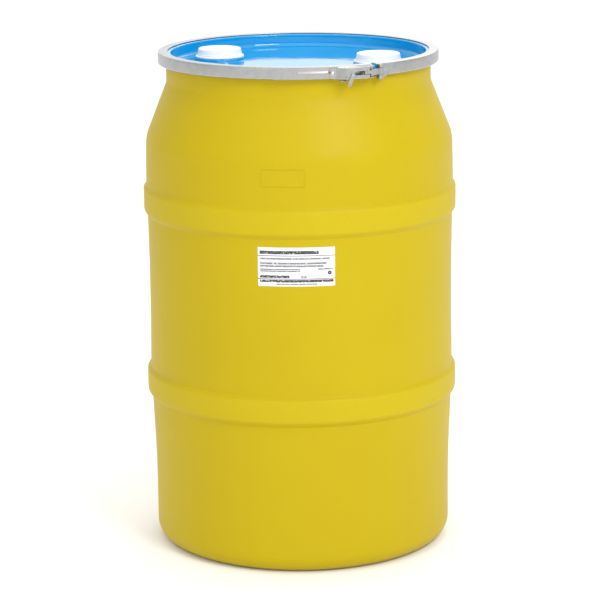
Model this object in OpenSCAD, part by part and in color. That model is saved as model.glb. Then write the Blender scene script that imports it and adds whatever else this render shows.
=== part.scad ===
// Open-head plastic drum with a recessed lid, a lever-lock closing ring and two bungs.
// The drum's axis is the Z axis, the floor is z = 0, and the ring's lever faces -Y.
// Angles round the ring are measured from -Y towards +X.

/* [Drum body] */
// Radius of the barrel beside its hoops
barrel_r = 290.3; // [260:0.1:350]
// Wall thickness of the barrel and the base
wall = 4; // [3:0.5:6]
// How much smaller the lower barrel's radius is
low_in = 7.1; // [4:0.1:12]
// Height of the lower barrel, from the floor to the lower hoop
low_len = 285; // [230:1:345]
// How far below the lower hoop the lower barrel starts to widen
flare_len = 125; // [90:1:135]
// Radius of the rounded edge of the base
foot_fillet = 34; // [20:1:42]
// Height of a rolling hoop, with its slopes
hoop_len = 57; // [40:1:70]
// How far a rolling hoop stands out of the barrel
hoop_out = 6.7; // [4:0.1:9]
// Distance between the two hoops
waist_len = 294.5; // [245:0.5:355]
// How far the barrel draws in halfway between the hoops
waist_in = 1.9; // [1:0.1:4]
// Rounding of the waist, halfway between the hoops
waist_fillet = 4000; // [1000:100:4500]
// Distance from the upper hoop to the shoulder
upper_len = 90.5; // [75:0.5:110]
// Height of the sloping shoulder
shoulder_len = 102.5; // [85:0.5:125]
// Rounding of the shoulder's upper barrel edge
shoulder_fillet = 70; // [30:1:75]

/* [Neck and mouth] */
// Outer radius of the neck
neck_r = 249.3; // [205:0.1:256]
// Height of the neck, up to the top of the mouth's lip
neck_len = 48; // [40:1:60]
// Wall thickness of the neck
neck_wall = 4.5; // [3.5:0.1:6]
// How far the mouth's lip stands out of the neck
lip_w = 9.5; // [8:0.1:12]
// Height of the mouth's lip
lip_h = 9.7; // [7:0.1:12]

/* [Moulded panel] */
// Width of the outlined panel on the upper barrel
panel_w = 80; // [50:1:110]
// Height of the outlined panel
panel_h = 32; // [20:1:40]
// How far round from the front the panel's middle lies, in degrees
panel_deg = -6; // [-20:1:20]
// Width of the panel's raised line
panel_line = 1.6; // [1:0.1:3]
// How far the panel's line stands out
panel_raise = 0.6; // [0.3:0.1:1]

/* [Label] */
// Width of the paper label
label_w = 141; // [80:1:180]
// Height of the paper label
label_h = 72; // [40:1:75]
// How far round from the front the label's middle lies, in degrees
label_deg = -1.5; // [-15:0.5:15]
// Gap between the label's top edge and the upper hoop
label_drop = 14; // [8:1:40]
// Thickness of the label
label_t = 0.3; // [0.2:0.1:0.6]

/* [Lid] */
// Thickness of the lid's rim
lid_rim_t = 5; // [4:0.1:7]
// Thickness of the lid's skirt, outside the mouth's lip
skirt_t = 2.8; // [2:0.1:4]
// How far the lid's skirt hangs below the rim
skirt_h = 9.7; // [6:0.1:10]
// Thickness of the lid's plug wall, inside the neck
plug_wall = 4.3; // [3:0.1:6]
// Depth of the lid's recess
recess_d = 23.7; // [18:0.1:30]
// Thickness of the lid's panel
lid_t = 4; // [3:0.1:6]
// Thickness of the lid's gasket
gasket_t = 3.2; // [2:0.1:5]
// Radial gap between the plug wall and the neck
plug_gap = 0.5; // [0.3:0.1:1]

/* [Bungs] */
// Crest radius of a bung's thread
bung_r = 30; // [24:0.1:36]
// Thread pitch
thread_pitch = 5.08; // [4:0.01:6]
// Depth of the thread
thread_d = 1.6; // [1:0.1:2]
// Number of thread turns
thread_turns = 4; // [3:1:5]
// Radial gap between the bung's thread and the boss
thread_gap = 0.4; // [0.3:0.05:0.6]
// Distance from a boss's edge to the recess wall
boss_margin = 35.8; // [20:0.1:45]
// Height of a boss above the panel
boss_h = 6.4; // [5:0.1:9]
// How far the boss's wall hangs below the panel
boss_drop = 22; // [20:0.5:26]
// Thickness of the boss's hanging wall
boss_wall = 5.5; // [4:0.1:8]
// Width of the boss's top face, outside the gasket
boss_land = 11; // [10:0.5:14]
// Direction of the rear left bung from +X, in degrees
bung_deg = 162; // [140:1:180]
// Thickness of a bung's gasket
bung_gasket_t = 2.2; // [1.5:0.1:3]
// Width of a bung's gasket
bung_gasket_w = 5.4; // [4:0.1:7]
// Thickness of a bung's flange
bung_flange_t = 5; // [4:0.1:7]
// Wall thickness of a bung
bung_wall = 4.6; // [4:0.1:6]
// Height of a cap seal
cap_h = 16.3; // [14.5:0.1:20]
// Wall thickness of a cap seal
cap_wall = 1.5; // [1:0.1:2]
// Width of the cap seal's foot flange
cap_foot_w = 3.8; // [3:0.1:5]

/* [Closing ring] */
// Thickness of the ring's steel
band_t = 2; // [1.5:0.1:2.5]
// Width of the ring's top flange
band_top_w = 18; // [14:0.5:20]
// Width of the ring's bottom flange
band_low_w = 12.7; // [10:0.1:13]
// Rounding of the ring's outer edges
band_edge_r = 3; // [2.2:0.1:4]
// Gap between the ring's two ends
band_gap = 9.5; // [8:0.5:14]

/* [Latch] */
// How far round from the front the lever's pivot lies, in degrees
fulcrum_deg = 29; // [-60:1:60]
// Thickness of the brackets, the handle and the link
plate_t = 1.8; // [1.5:0.1:2.2]
// How far the pivot pins stand out of the ring
pin_out = 5.8; // [5.8:0.1:7]
// Radius of the lever's pivot pin
fulcrum_pin_r = 2.5; // [2:0.1:2.6]
// Radius of the link's pin on the lever
link_pin_r = 2; // [1.6:0.1:2.1]
// Radius of the anchor pin
anchor_pin_r = 2.2; // [1.8:0.1:2.4]
// Distance along the ring from the lever's pivot to the link's pin
link_pin_back = 15; // [14:0.5:16]
// How far the link's pin stands outside the lever's pivot
link_pin_rise = 6; // [5.5:0.1:6.5]
// Distance along the ring from the lever's pivot to the anchor pin
anchor_reach = 19.8; // [19:0.1:23]
// Height of the lever's channel
channel_h = 20; // [19:0.5:21]
// Thickness of the channel's steel
channel_t = 1.5; // [1.2:0.1:1.8]
// Length of the lever's channel
channel_len = 71; // [66:1:80]
// Length of the handle plate, from its free end to the rivet
handle_len = 110; // [80:1:160]
// Height of the handle plate
handle_h = 21.2; // [18:0.1:22]
// Bend radius of the handle plate
handle_bend = 311; // [290:1:340]
// Corner radius of the handle's free end
handle_corner = 6; // [3:0.5:9]
// Length of the stiffening rib on the handle
rib_len = 58; // [40:1:70]
// Width of the stiffening rib
rib_w = 6; // [4:0.5:8]
// How far the rib stands out
rib_rise = 1.4; // [1:0.1:2]

/* [Seal tab] */
// Width of the seal tab
tab_w = 7.2; // [6:0.1:9]
// Distance from the tab's rivet to its seal hole
tab_len = 18; // [15:0.5:22]
// Radius of the hole for the seal wire
seal_hole_r = 1.3; // [1:0.1:1.8]
// How far the tab hangs out of the vertical, in degrees
tab_tilt = 20; // [0:1:30]

/* [Clearances] */
// Gap between parts that move past each other
fit_gap = 0.3; // [0.25:0.05:0.5]
// Radial gap between a pin and the hole that turns on it
pin_gap = 0.05; // [0.03:0.01:0.1]

/* [Hidden] */
$fn = 144;

// Levels of the drum, from the floor up
hoop_low_z = low_len;
waist_z = hoop_low_z + hoop_len;
hoop_top_z = waist_z + waist_len;
upper_z = hoop_top_z + hoop_len;
shoulder_z = upper_z + upper_len;
neck_z = shoulder_z + shoulder_len;
body_h = neck_z + neck_len;
waist_mid_z = waist_z + waist_len / 2;

// Radii of the drum
low_r = barrel_r - low_in;
flare_r = barrel_r - 1.5;
upper_r = barrel_r + 1.7;
hoop_r = barrel_r + hoop_out;
lip_r = neck_r + lip_w;
mouth_r = neck_r - neck_wall;

// The lid closes on the lip, and the ring closes on the lid
rim_under_z = body_h + gasket_t;
lid_top_z = rim_under_z + lid_rim_t;
panel_z = lid_top_z - recess_d;
skirt_in_r = lip_r + fit_gap;
skirt_r = skirt_in_r + skirt_t;
plug_r = mouth_r - plug_gap;
recess_r = plug_r - plug_wall;
band_r = skirt_r + fit_gap + band_t;
band_top_z = lid_top_z + fit_gap + band_t;
band_low_z = body_h - lip_h - fit_gap - band_t;
band_mid_z = (band_low_z + band_top_z) / 2;

// Bung boss, bung and cap seal, at heights above the boss's top face
bore_r = bung_r + thread_gap;
gasket_in_r = bore_r + 0.4;
gasket_out_r = gasket_in_r + bung_gasket_w;
bung_flange_r = gasket_out_r + 0.8;
cap_in_r = bung_flange_r + 1.5;
cap_neck_r = cap_in_r + cap_wall + 2.2;
cap_foot_r = cap_neck_r + cap_foot_w;
boss_r = max(gasket_out_r + boss_land, cap_foot_r + 1);
boss_top_z = panel_z + boss_h;
bung_circle_r = recess_r - boss_r - boss_margin;
bung_top = bung_gasket_t + bung_flange_t;
thread_len = thread_turns * thread_pitch;

// Latch: its pins stand on one circle, and every place along the ring is an arc length
// from the lever's pivot
pin_r = band_r + pin_out;
latch_z = band_mid_z - 1;
plate_r = band_r + plate_t;
knuckle_r = fulcrum_pin_r + 1.7;
ear_r = fulcrum_pin_r + 2.1;
channel_r = pin_r + 10.5;
channel_end = -8.5;
channel_start = channel_end - channel_len;
flange_in_r = band_r + 3.4;
rivet_at = channel_start + 5;
handle_in_r = band_r + 0.6;
handle_tail = 11;
gap_start = 5.6;
gap_end = gap_start + band_gap;
slot_start = channel_end - 28.7;
slot_h = 7;
link_neck_h = slot_h - 1;
link_wide_h = 13;
hook_h = 11;
hook_in_r = anchor_pin_r + 1.8;
hook_out_r = hook_in_r + plate_t;
link_rise = 7.6;
link_wide_start = -3.5;
head_t = 1;
tab_at = rivet_at + 33;
tab_z = latch_z - 2.5;
tab_in_r = channel_r + fit_gap;
tab_t = 1.5;
tab_pin_r = 1.5;
anchor_len = 46;
anchor_drop = 4.9;

// Unit vector along v
function unit(v) = v / norm(v);

// Points that round the corner b, between a and c, with radius r, one every 12 degrees or so
function corner(a, b, c, r) =
    let (
        u = unit(a - b),
        v = unit(c - b),
        half = acos(u * v) / 2,
        centre = b + unit(u + v) * r / sin(half),
        start = b + u * r / tan(half) - centre,
        end = b + v * r / tan(half) - centre,
        first = atan2(start.y, start.x),
        sweep = (atan2(end.y, end.x) - first + 540) % 360 - 180,
        steps = max(3, ceil(abs(sweep) / 12))
    )
    [for (i = [0:steps]) centre + r * [cos(first + sweep * i / steps), sin(first + sweep * i / steps)]];

// Outline through the corners [x, y, rounding]
function rounded(corners) =
    let (n = len(corners))
    [for (i = [0:n - 1])
        let (
            a = corners[(i + n - 1) % n],
            b = corners[i],
            c = corners[(i + 1) % n],
            here = [b.x, b.y]
        )
        each b.z > 0 ? corner([a.x, a.y], here, [c.x, c.y], b.z) : [here]];

// Half a section of the barrel's surface from the base to the neck, moved in by t.
// Rounding of an outside corner shrinks by t, and rounding of an inside corner grows.
function barrel_side(t) = [
    [low_r - t, t, foot_fillet - t],
    [low_r - t, hoop_low_z - flare_len, 2200],
    each hoop_side(hoop_low_z, flare_r, barrel_r, t),
    [barrel_r - waist_in - t, waist_mid_z, waist_fillet],
    each hoop_side(hoop_top_z, barrel_r, upper_r, t),
    [barrel_r - t, shoulder_z, shoulder_fillet - t],
];

// A rolling hoop: a slope out, a rounded crest and a short slope in
function hoop_side(z, r_low, r_high, t) = [
    [r_low - t, z, 3 + t],
    [hoop_r - t, z + 9, 12 - t],
    [hoop_r - t, z + hoop_len - 6, 6 - t],
    [r_high - t, z + hoop_len, 4 + t],
];

// Degrees round the ring at an arc length s from the lever's pivot
function deg_at(s) = fulcrum_deg + s / pin_r * 180 / PI;

// Part of a tube wall round the drum's axis, between two arc lengths
module arc_wall(r_in, r_out, s0, s1, z0, z1) {
    rotate([0, 0, deg_at(s0) - 90])
        rotate_extrude(angle = deg_at(s1) - deg_at(s0))
            translate([r_in, z0])
                square([r_out - r_in, z1 - z0]);
}

// Local frame on the ring: +X runs along the ring, -Y points out of it
module at_arc(s, r, z) {
    rotate([0, 0, deg_at(s)])
        translate([0, -r, z])
            children();
}

// Round bar that points out of the ring, from the ring's side of its place
module radial_bar(r, length) {
    rotate([90, 0, 0])
        cylinder(r = r, h = length);
}

// Flat bar of width w from p to q, with round ends
module bar(p, q, w) {
    translate(p)
        rotate(atan2(q.y - p.y, q.x - p.x))
            translate([0, -w / 2])
                square([norm(q - p), w]);
    translate(p)
        circle(d = w);
    translate(q)
        circle(d = w);
}

module drum_body() {
    base_in = [0, wall, 0];
    color("gold")
    union() {
        rotate_extrude()
            polygon(rounded([
                [0, 0, 0],
                each barrel_side(0),
                [neck_r, neck_z, 25],
                [neck_r, body_h - lip_h, 1.5],
                [lip_r, body_h - lip_h, 2],
                [lip_r, body_h, 2],
                [mouth_r, body_h, 2],
                [mouth_r, neck_z, 28],
                each [for (i = [len(barrel_side(wall)) - 1:-1:0]) barrel_side(wall)[i]],
                base_in,
            ]));
        panel_outline();
    }
}

// Raised outline of the plain panel on the upper barrel
module panel_outline() {
    mid_z = (upper_z + shoulder_z) / 2 + 10;
    difference() {
        panel_patch(panel_w, panel_h, mid_z, wall / 2, panel_raise);
        panel_patch(panel_w - 2 * panel_line, panel_h - 2 * panel_line, mid_z, wall, 2 * panel_raise);
    }
}

// Patch of skin round the middle of the panel, from depth below the surface to rise above it
module panel_patch(w, h, mid_z, depth, rise) {
    half_deg = w / 2 / barrel_r * 180 / PI;
    z0 = mid_z - h / 2;
    z1 = mid_z + h / 2;
    rotate([0, 0, panel_deg - half_deg - 90])
        rotate_extrude(angle = 2 * half_deg)
            polygon([
                [upper_barrel_r(z0) - depth, z0],
                [upper_barrel_r(z0) + rise, z0],
                [upper_barrel_r(z1) + rise, z1],
                [upper_barrel_r(z1) - depth, z1],
            ]);
}

function upper_barrel_r(z) = upper_r + (barrel_r - upper_r) * (z - upper_z) / upper_len;

// Radius of the barrel in the upper half of its waist
function waist_r(z) = barrel_r - waist_in * (hoop_top_z - z) / (waist_len / 2);

module label() {
    z1 = hoop_top_z - label_drop;
    z0 = z1 - label_h;
    half_deg = label_w / 2 / barrel_r * 180 / PI;
    color("white")
    rotate([0, 0, label_deg - half_deg - 90])
        rotate_extrude(angle = 2 * half_deg)
            polygon([
                [waist_r(z0), z0],
                [waist_r(z0) + label_t, z0],
                [waist_r(z1) + label_t, z1],
                [waist_r(z1), z1],
            ]);
}

module lid() {
    color("dodgerblue")
    difference() {
        union() {
            rotate_extrude()
                polygon(rounded([
                    [0, panel_z - lid_t, 0],
                    [plug_r, panel_z - lid_t, 8],
                    [plug_r, rim_under_z, 0],
                    [skirt_in_r, rim_under_z, 0],
                    [skirt_in_r, rim_under_z - skirt_h, 0.8],
                    [skirt_r, rim_under_z - skirt_h, 0.8],
                    [skirt_r, lid_top_z, 2.5],
                    [recess_r, lid_top_z, 2.5],
                    [recess_r, panel_z, 7],
                    [0, panel_z, 0],
                ]));
            for (turn = [0, 180])
                at_bung(turn)
                    boss();
        }
        for (turn = [0, 180])
            at_bung(turn)
                translate([0, 0, -2 * boss_drop])
                    cylinder(r = bore_r, h = 4 * boss_drop);
    }
}

// Place of a bung, with z = 0 at the top face of its boss
module at_bung(turn) {
    rotate([0, 0, bung_deg + turn])
        translate([bung_circle_r, 0, boss_top_z])
            children();
}

module boss() {
    edge = 1.5;
    translate([0, 0, -boss_h - boss_drop])
        cylinder(r = bore_r + boss_wall, h = boss_h + boss_drop);
    translate([0, 0, -boss_h - lid_t / 2])
        cylinder(r = boss_r, h = boss_h + lid_t / 2 - edge);
    translate([0, 0, -edge])
        cylinder(r1 = boss_r, r2 = boss_r - edge, h = edge);
}

module lid_gasket() {
    color("dimgray")
    rotate_extrude()
        translate([mouth_r + 1.2, body_h])
            square([lip_r - mouth_r - 2, gasket_t]);
}

// Threaded bung, hollow from the top, with two lugs for a bung wrench
module bung() {
    well_r = bung_r - thread_d - bung_wall;
    root_r = bung_r - thread_d;
    lug = 6;
    bottom = -thread_len - 5;
    floor_t = 4;
    ridges = [for (i = [thread_turns - 1:-1:0])
        let (z = -3 - i * thread_pitch)
        each [
            [root_r, z - 0.8 * thread_pitch],
            [bung_r, z - 0.45 * thread_pitch],
            [bung_r, z - 0.3 * thread_pitch],
            [root_r, z - 0.1 * thread_pitch],
        ]];
    color("whitesmoke") {
        rotate_extrude()
            polygon([
                [0, bottom],
                [root_r - 1.5, bottom],
                [root_r, bottom + 1.5],
                each ridges,
                [root_r, bung_gasket_t],
                [bung_flange_r, bung_gasket_t],
                [bung_flange_r, bung_top - 1],
                [bung_flange_r - 1, bung_top],
                [well_r, bung_top],
                [well_r, bottom + floor_t],
                [0, bottom + floor_t],
            ]);
        intersection() {
            for (side = [-1, 1])
                translate([side * (well_r - lug / 2), 0, (bottom + bung_top) / 2 - 1])
                    cube([lug, lug, bung_top - bottom - 2], center = true);
            translate([0, 0, bottom + floor_t / 2])
                cylinder(r = well_r + bung_wall / 2, h = bung_top - bottom);
        }
    }
}

module bung_gasket() {
    color("black")
    rotate_extrude()
        translate([gasket_in_r, 0])
            square([gasket_out_r - gasket_in_r, bung_gasket_t]);
}

// Cap seal: a thin snap-on cover over a bung, with a flange round its foot
module cap_seal() {
    top = fit_gap + cap_h;
    color("white")
    rotate_extrude()
        polygon(rounded([
            [0, top, 0],
            [0, top - cap_wall, 0],
            [cap_in_r, top - cap_wall, 1],
            [cap_in_r, fit_gap, 0.4],
            [cap_foot_r, fit_gap, 0.6],
            [cap_foot_r, fit_gap + 3.2, 1],
            [cap_neck_r - 0.8, fit_gap + 4, 0.5],
            [cap_neck_r, fit_gap + 5.4, 0.5],
            [cap_neck_r - 2, top, 2.4],
        ]));
}

// Steel ring: a channel that holds the lid's rim and the mouth's lip together
module ring_band() {
    inner_edge = band_edge_r - band_t;
    color("gainsboro")
    rotate([0, 0, deg_at(gap_end) - 90])
        rotate_extrude(angle = 360 - deg_at(gap_end) + deg_at(gap_start))
            polygon(rounded([
                [band_r - band_low_w, band_low_z, 0.6],
                [band_r, band_low_z, band_edge_r],
                [band_r, band_top_z, band_edge_r],
                [band_r - band_top_w, band_top_z, 0.8],
                [band_r - band_top_w, band_top_z - band_t, 0.8],
                [band_r - band_t, band_top_z - band_t, inner_edge],
                [band_r - band_t, band_low_z + band_t, inner_edge],
                [band_r - band_low_w, band_low_z + band_t, 0.6],
            ]));
}

// Tube for a pin on the ring, with a foot down to the ring on the side of its plate
module knuckle(s, side, r, z0, z1) {
    at_arc(s, pin_r, 0) {
        translate([0, 0, z0])
            cylinder(r = r, h = z1 - z0);
        translate([min(side, 0) * r, 0, z0])
            cube([r, pin_out + 2, z1 - z0]);
    }
}

// Bracket on the ring's left end: it carries the lever's pivot
module fulcrum_bracket() {
    half_h = 7;
    shelf_z = band_low_z - 4.2;
    color("gainsboro")
    difference() {
        union() {
            arc_wall(band_r - 1, plate_r, -62, 0, latch_z - half_h, latch_z + half_h);
            knuckle(0, -1, knuckle_r, latch_z - channel_h / 2 + channel_t + fit_gap,
                latch_z + channel_h / 2 - channel_t - fit_gap);
            arc_wall(band_r - 1, plate_r, -61, -48, shelf_z, latch_z);
            arc_wall(band_r - 1, band_r + 7, -61, -48, shelf_z, shelf_z + channel_t);
        }
        cylinder(r = band_r, h = 3 * body_h, center = true);
        at_arc(0, pin_r, 0)
            cylinder(r = fulcrum_pin_r, h = 3 * body_h, center = true);
    }
}

// Bracket on the ring's right end: it carries the pin that the link hooks on
module anchor_bracket() {
    low_z = band_low_z - anchor_drop;
    top_z = band_top_z - 0.4;
    slant = 32;
    color("gainsboro")
    difference() {
        union() {
            arc_wall(band_r - 1, plate_r, gap_end, gap_end + anchor_len, low_z, top_z);
            knuckle(anchor_reach, 1, knuckle_r, latch_z + hook_h / 2 + 1, top_z);
            knuckle(anchor_reach, 1, knuckle_r, low_z, latch_z - hook_h / 2 - 1);
        }
        cylinder(r = band_r, h = 3 * body_h, center = true);
        at_arc(anchor_reach, pin_r, 0)
            cylinder(r = anchor_pin_r, h = 3 * body_h, center = true);
        at_arc(anchor_reach + knuckle_r + 5, band_r, low_z)
            rotate([0, -slant, 0])
                translate([0, -20, -20])
                    cube([3 * anchor_len, 40, 20]);
        for (s = [anchor_reach + 12.5, anchor_reach + 28])
            at_arc(s, plate_r - 0.6, latch_z)
                radial_bar(2, 5);
    }
}

// Upright pin with a flat head at each end
module headed_pin(r, half_len) {
    translate([0, 0, -half_len])
        cylinder(r = r, h = 2 * half_len);
    for (z = [-half_len - head_t, half_len])
        translate([0, 0, z])
            cylinder(r = r + 1.1, h = head_t);
}

module fulcrum_pin() {
    color("silver")
    at_arc(0, pin_r, latch_z)
        headed_pin(fulcrum_pin_r, channel_h / 2 + fit_gap / 2);
}

module anchor_pin() {
    low_z = band_low_z - anchor_drop;
    color("silver")
    at_arc(anchor_reach, pin_r, low_z)
        cylinder(r = anchor_pin_r, h = band_top_z - 0.4 - low_z);
}

// Place of the link's pin, in the frame of the lever's pivot
link_pin_at = [-link_pin_back, -link_pin_rise];

module link_pin() {
    color("silver")
    at_arc(0, pin_r, latch_z)
        translate(link_pin_at)
            headed_pin(link_pin_r, channel_h / 2);
}

// Sheet-metal handle that lies along the ring, bent to stand clear at its free end
module handle_plate() {
    tip_deg = -handle_len / handle_bend * 180 / PI;
    tail_deg = handle_tail / handle_bend * 180 / PI;
    rib_end_deg = -6.5 / handle_bend * 180 / PI;
    rib_start_deg = rib_end_deg - rib_len / handle_bend * 180 / PI;
    mid_z = band_mid_z + 0.3;
    color("gainsboro")
    at_arc(rivet_at, handle_in_r, mid_z)
        translate([0, handle_bend, 0])
            difference() {
                union() {
                    turned(tip_deg, tail_deg)
                        translate([handle_bend, -handle_h / 2])
                            square([plate_t, handle_h]);
                    turned(rib_start_deg, rib_end_deg)
                        rib_section();
                }
                for (side = [-1, 1])
                    rotate([0, 0, tip_deg])
                        translate([0, 0, side * handle_h / 2])
                            corner_cutter(side);
                translate([0, 0, latch_z - mid_z])
                    rotate([90, 0, 0])
                        cylinder(r = link_pin_r, h = handle_bend + 10);
            }
}

// Turns a section from one angle to another, both measured from -Y
module turned(from, to) {
    rotate([0, 0, from - 90])
        rotate_extrude(angle = to - from)
            children();
}

// Low bulge of the stiffening rib, cut off inside the plate
module rib_section() {
    bulge_r = (rib_w * rib_w / 4 + rib_rise * rib_rise) / (2 * rib_rise);
    intersection() {
        translate([handle_bend + plate_t + rib_rise - bulge_r, 0])
            circle(r = bulge_r);
        translate([handle_bend + plate_t / 2, -handle_h / 2])
            square([handle_h, handle_h]);
    }
}

// Takes a square corner off and leaves it round
module corner_cutter(side) {
    far = handle_bend + 20;
    difference() {
        translate([-1, -far, -handle_corner])
            cube([handle_corner + 1, 40, 2 * handle_corner]);
        translate([handle_corner, 0, -side * handle_corner])
            rotate([90, 0, 0])
                cylinder(r = handle_corner, h = far + 1);
    }
}

// Outer radius of the lever's channel: low at the rivet, then up a ramp
function channel_out(s) =
    let (
        low = handle_in_r + plate_t + channel_t + 0.1,
        ramp = (s - rivet_at - 6) / 16
    )
    low + (channel_r - low) * min(1, max(0, ramp));

// Point in plan at arc length s and radius r
function on_ring(s, r) = r * [sin(deg_at(s)), -cos(deg_at(s))];

module channel_plan(inset) {
    step = (channel_end - channel_start) / 24;
    outer = [for (i = [0:24]) let (s = channel_start + i * step) on_ring(s, channel_out(s) - inset)];
    inner = [for (i = [24:-1:0]) on_ring(channel_start + i * step, flange_in_r)];
    polygon(concat(outer, inner));
}

// Lever body: a channel open towards the ring, with ears for the lever's pivot
module lever_channel() {
    ear = on_ring(0, pin_r);
    low_z = latch_z - channel_h / 2;
    color("gainsboro")
    difference() {
        union() {
            difference() {
                translate([0, 0, low_z])
                    linear_extrude(channel_h)
                        channel_plan(0);
                translate([0, 0, low_z + channel_t])
                    linear_extrude(channel_h - 2 * channel_t)
                        channel_hollow();
            }
            for (z = [low_z, low_z + channel_h - channel_t])
                translate([0, 0, z])
                    linear_extrude(channel_t) {
                        translate(ear)
                            circle(r = ear_r);
                        polygon([
                            on_ring(channel_end - 4, flange_in_r),
                            on_ring(0, pin_r - ear_r + 0.3),
                            on_ring(0, pin_r + ear_r),
                            on_ring(channel_end - 1, channel_r - 0.5),
                            on_ring(channel_end - 4, channel_r - 1),
                        ]);
                    }
        }
        at_arc(0, pin_r, 0)
            cylinder(r = fulcrum_pin_r + pin_gap, h = 3 * body_h, center = true);
        at_arc(0, pin_r, 0)
            translate(link_pin_at)
                cylinder(r = link_pin_r, h = 3 * body_h, center = true);
        link_slot();
        arc_wall(channel_r - 4, channel_r + 4, tab_at - 12.5, tab_at + 6,
            latch_z - 7.6, latch_z - 4.8);
        at_arc(tab_at, channel_r - 5, tab_z)
            radial_bar(tab_pin_r, 10);
        at_arc(rivet_at, band_r - 5, latch_z)
            radial_bar(link_pin_r, 20);
    }
}

// Inside of the channel: it starts past the riveted foot and runs out at the pivot
module channel_hollow() {
    foot = 4.5;
    start = rivet_at + foot;
    steps = 20;
    step = (channel_end + 10 - start) / steps;
    outer = [for (i = [0:steps])
        let (s = start + i * step)
        on_ring(s, channel_out(s) - channel_t)];
    inner = [for (i = [steps:-1:0]) on_ring(start + i * step, flange_in_r - 5)];
    polygon(concat(outer, inner));
    foot_space();
}

// Space for the handle plate under the riveted foot
module foot_space() {
    polygon([
        on_ring(channel_start - 2, flange_in_r - 5),
        on_ring(channel_start - 2, handle_in_r + plate_t),
        on_ring(rivet_at + 5, handle_in_r + plate_t),
        on_ring(rivet_at + 5, flange_in_r - 5),
    ]);
}

// Slot in the channel's web that the link swings out through
module link_slot() {
    arc_wall(channel_r - 4, channel_r + 4, slot_start + slot_h / 2, channel_end + 6,
        latch_z - slot_h / 2, latch_z + slot_h / 2);
    at_arc(slot_start + slot_h / 2, channel_r - 4, latch_z)
        radial_bar(slot_h / 2, 8);
}

module handle_rivet() {
    head_r = 4;
    head_h = 1.6;
    ball_r = (head_r * head_r + head_h * head_h) / (2 * head_h);
    shank = plate_t + channel_t + 0.1;
    color("silver")
    at_arc(rivet_at, handle_in_r, latch_z) {
        radial_bar(link_pin_r, shank);
        translate([0, -shank, 0])
            intersection() {
                translate([0, ball_r - head_h, 0])
                    sphere(r = ball_r);
                radial_bar(head_r, head_h);
            }
    }
}

// Link from the lever to the anchor pin. Its hook is open towards the ring, where the
// closed linkage is parted, so that it lifts off and on as the lever swings.
module link() {
    anchor = [pin_r * sin(deg_at(anchor_reach) - fulcrum_deg),
        pin_r * (1 - cos(deg_at(anchor_reach) - fulcrum_deg))];
    over = [link_wide_start, -link_rise];
    past = [anchor_reach - 11.5, -link_rise];
    mid_r = (hook_in_r + hook_out_r) / 2;
    hook_start = anchor + mid_r * [cos(250), sin(250)];
    color("gainsboro")
    at_arc(0, pin_r, latch_z)
        difference() {
            union() {
                slab(link_neck_h) {
                    translate(link_pin_at)
                        circle(r = link_pin_r + 1.4);
                    bar(link_pin_at, over, plate_t);
                }
                slab(link_wide_h) {
                    bar(over, past, plate_t);
                    bar(past, hook_start, plate_t);
                }
                slab(hook_h)
                    translate(anchor)
                        intersection() {
                            difference() {
                                circle(r = hook_out_r);
                                circle(r = hook_in_r);
                            }
                            polygon([
                                [0, 0],
                                2 * hook_out_r * [cos(250), sin(250)],
                                2 * hook_out_r * [cos(290), sin(290)],
                                2 * hook_out_r * [cos(330), sin(330)],
                                2 * hook_out_r * [cos(15), sin(15)],
                            ]);
                        }
            }
            translate(link_pin_at)
                cylinder(r = link_pin_r + pin_gap, h = 3 * link_wide_h, center = true);
        }
}

// Flat shape made into a slab of height h, centred on the latch's middle
module slab(h) {
    linear_extrude(h, center = true)
        children();
}

// Tab with a hole for a seal wire, loose on its rivet
module seal_tab() {
    color("gainsboro")
    at_arc(tab_at, tab_in_r, tab_z)
        rotate([0, tab_tilt, 0])
            rotate([90, 0, 0])
                linear_extrude(tab_t)
                    difference() {
                        bar([0, 0], [0, -tab_len], tab_w);
                        circle(r = tab_pin_r + pin_gap);
                        translate([0, -tab_len])
                            circle(r = seal_hole_r);
                    }
}

module seal_tab_rivet() {
    inside = channel_t;
    head_at = inside + fit_gap + tab_t + fit_gap;
    color("silver")
    at_arc(tab_at, channel_r - inside, tab_z) {
        radial_bar(tab_pin_r, head_at + 1);
        translate([0, -head_at, 0])
            radial_bar(tab_pin_r + 1.2, 1);
    }
}

drum_body();
label();
lid();
lid_gasket();
at_bung(0) bung();  // bung_a
at_bung(180) bung();  // bung_b
at_bung(0) bung_gasket();  // bung_gasket_a
at_bung(180) bung_gasket();  // bung_gasket_b
at_bung(0) cap_seal();  // cap_seal_a
at_bung(180) cap_seal();  // cap_seal_b
ring_band();
fulcrum_bracket();
anchor_bracket();
fulcrum_pin();
anchor_pin();
handle_plate();
lever_channel();
handle_rivet();
link_pin();
link();
seal_tab();
seal_tab_rivet();
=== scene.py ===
# %% [markdown]
# # An open-head plastic drum
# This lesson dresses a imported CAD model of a 55 US gallon open-head drum. The CAD model holds the
# sizes and the joints. Blender adds what the eye looks for: rounded mouldings, threads, pressed
# steel, and finishes with a real grain. Every piece is made in metres, in the CAD model's own frame.

# %% Load the frame
import math

import bmesh
import bpy
from mathutils import Matrix, Vector, noise


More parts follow.
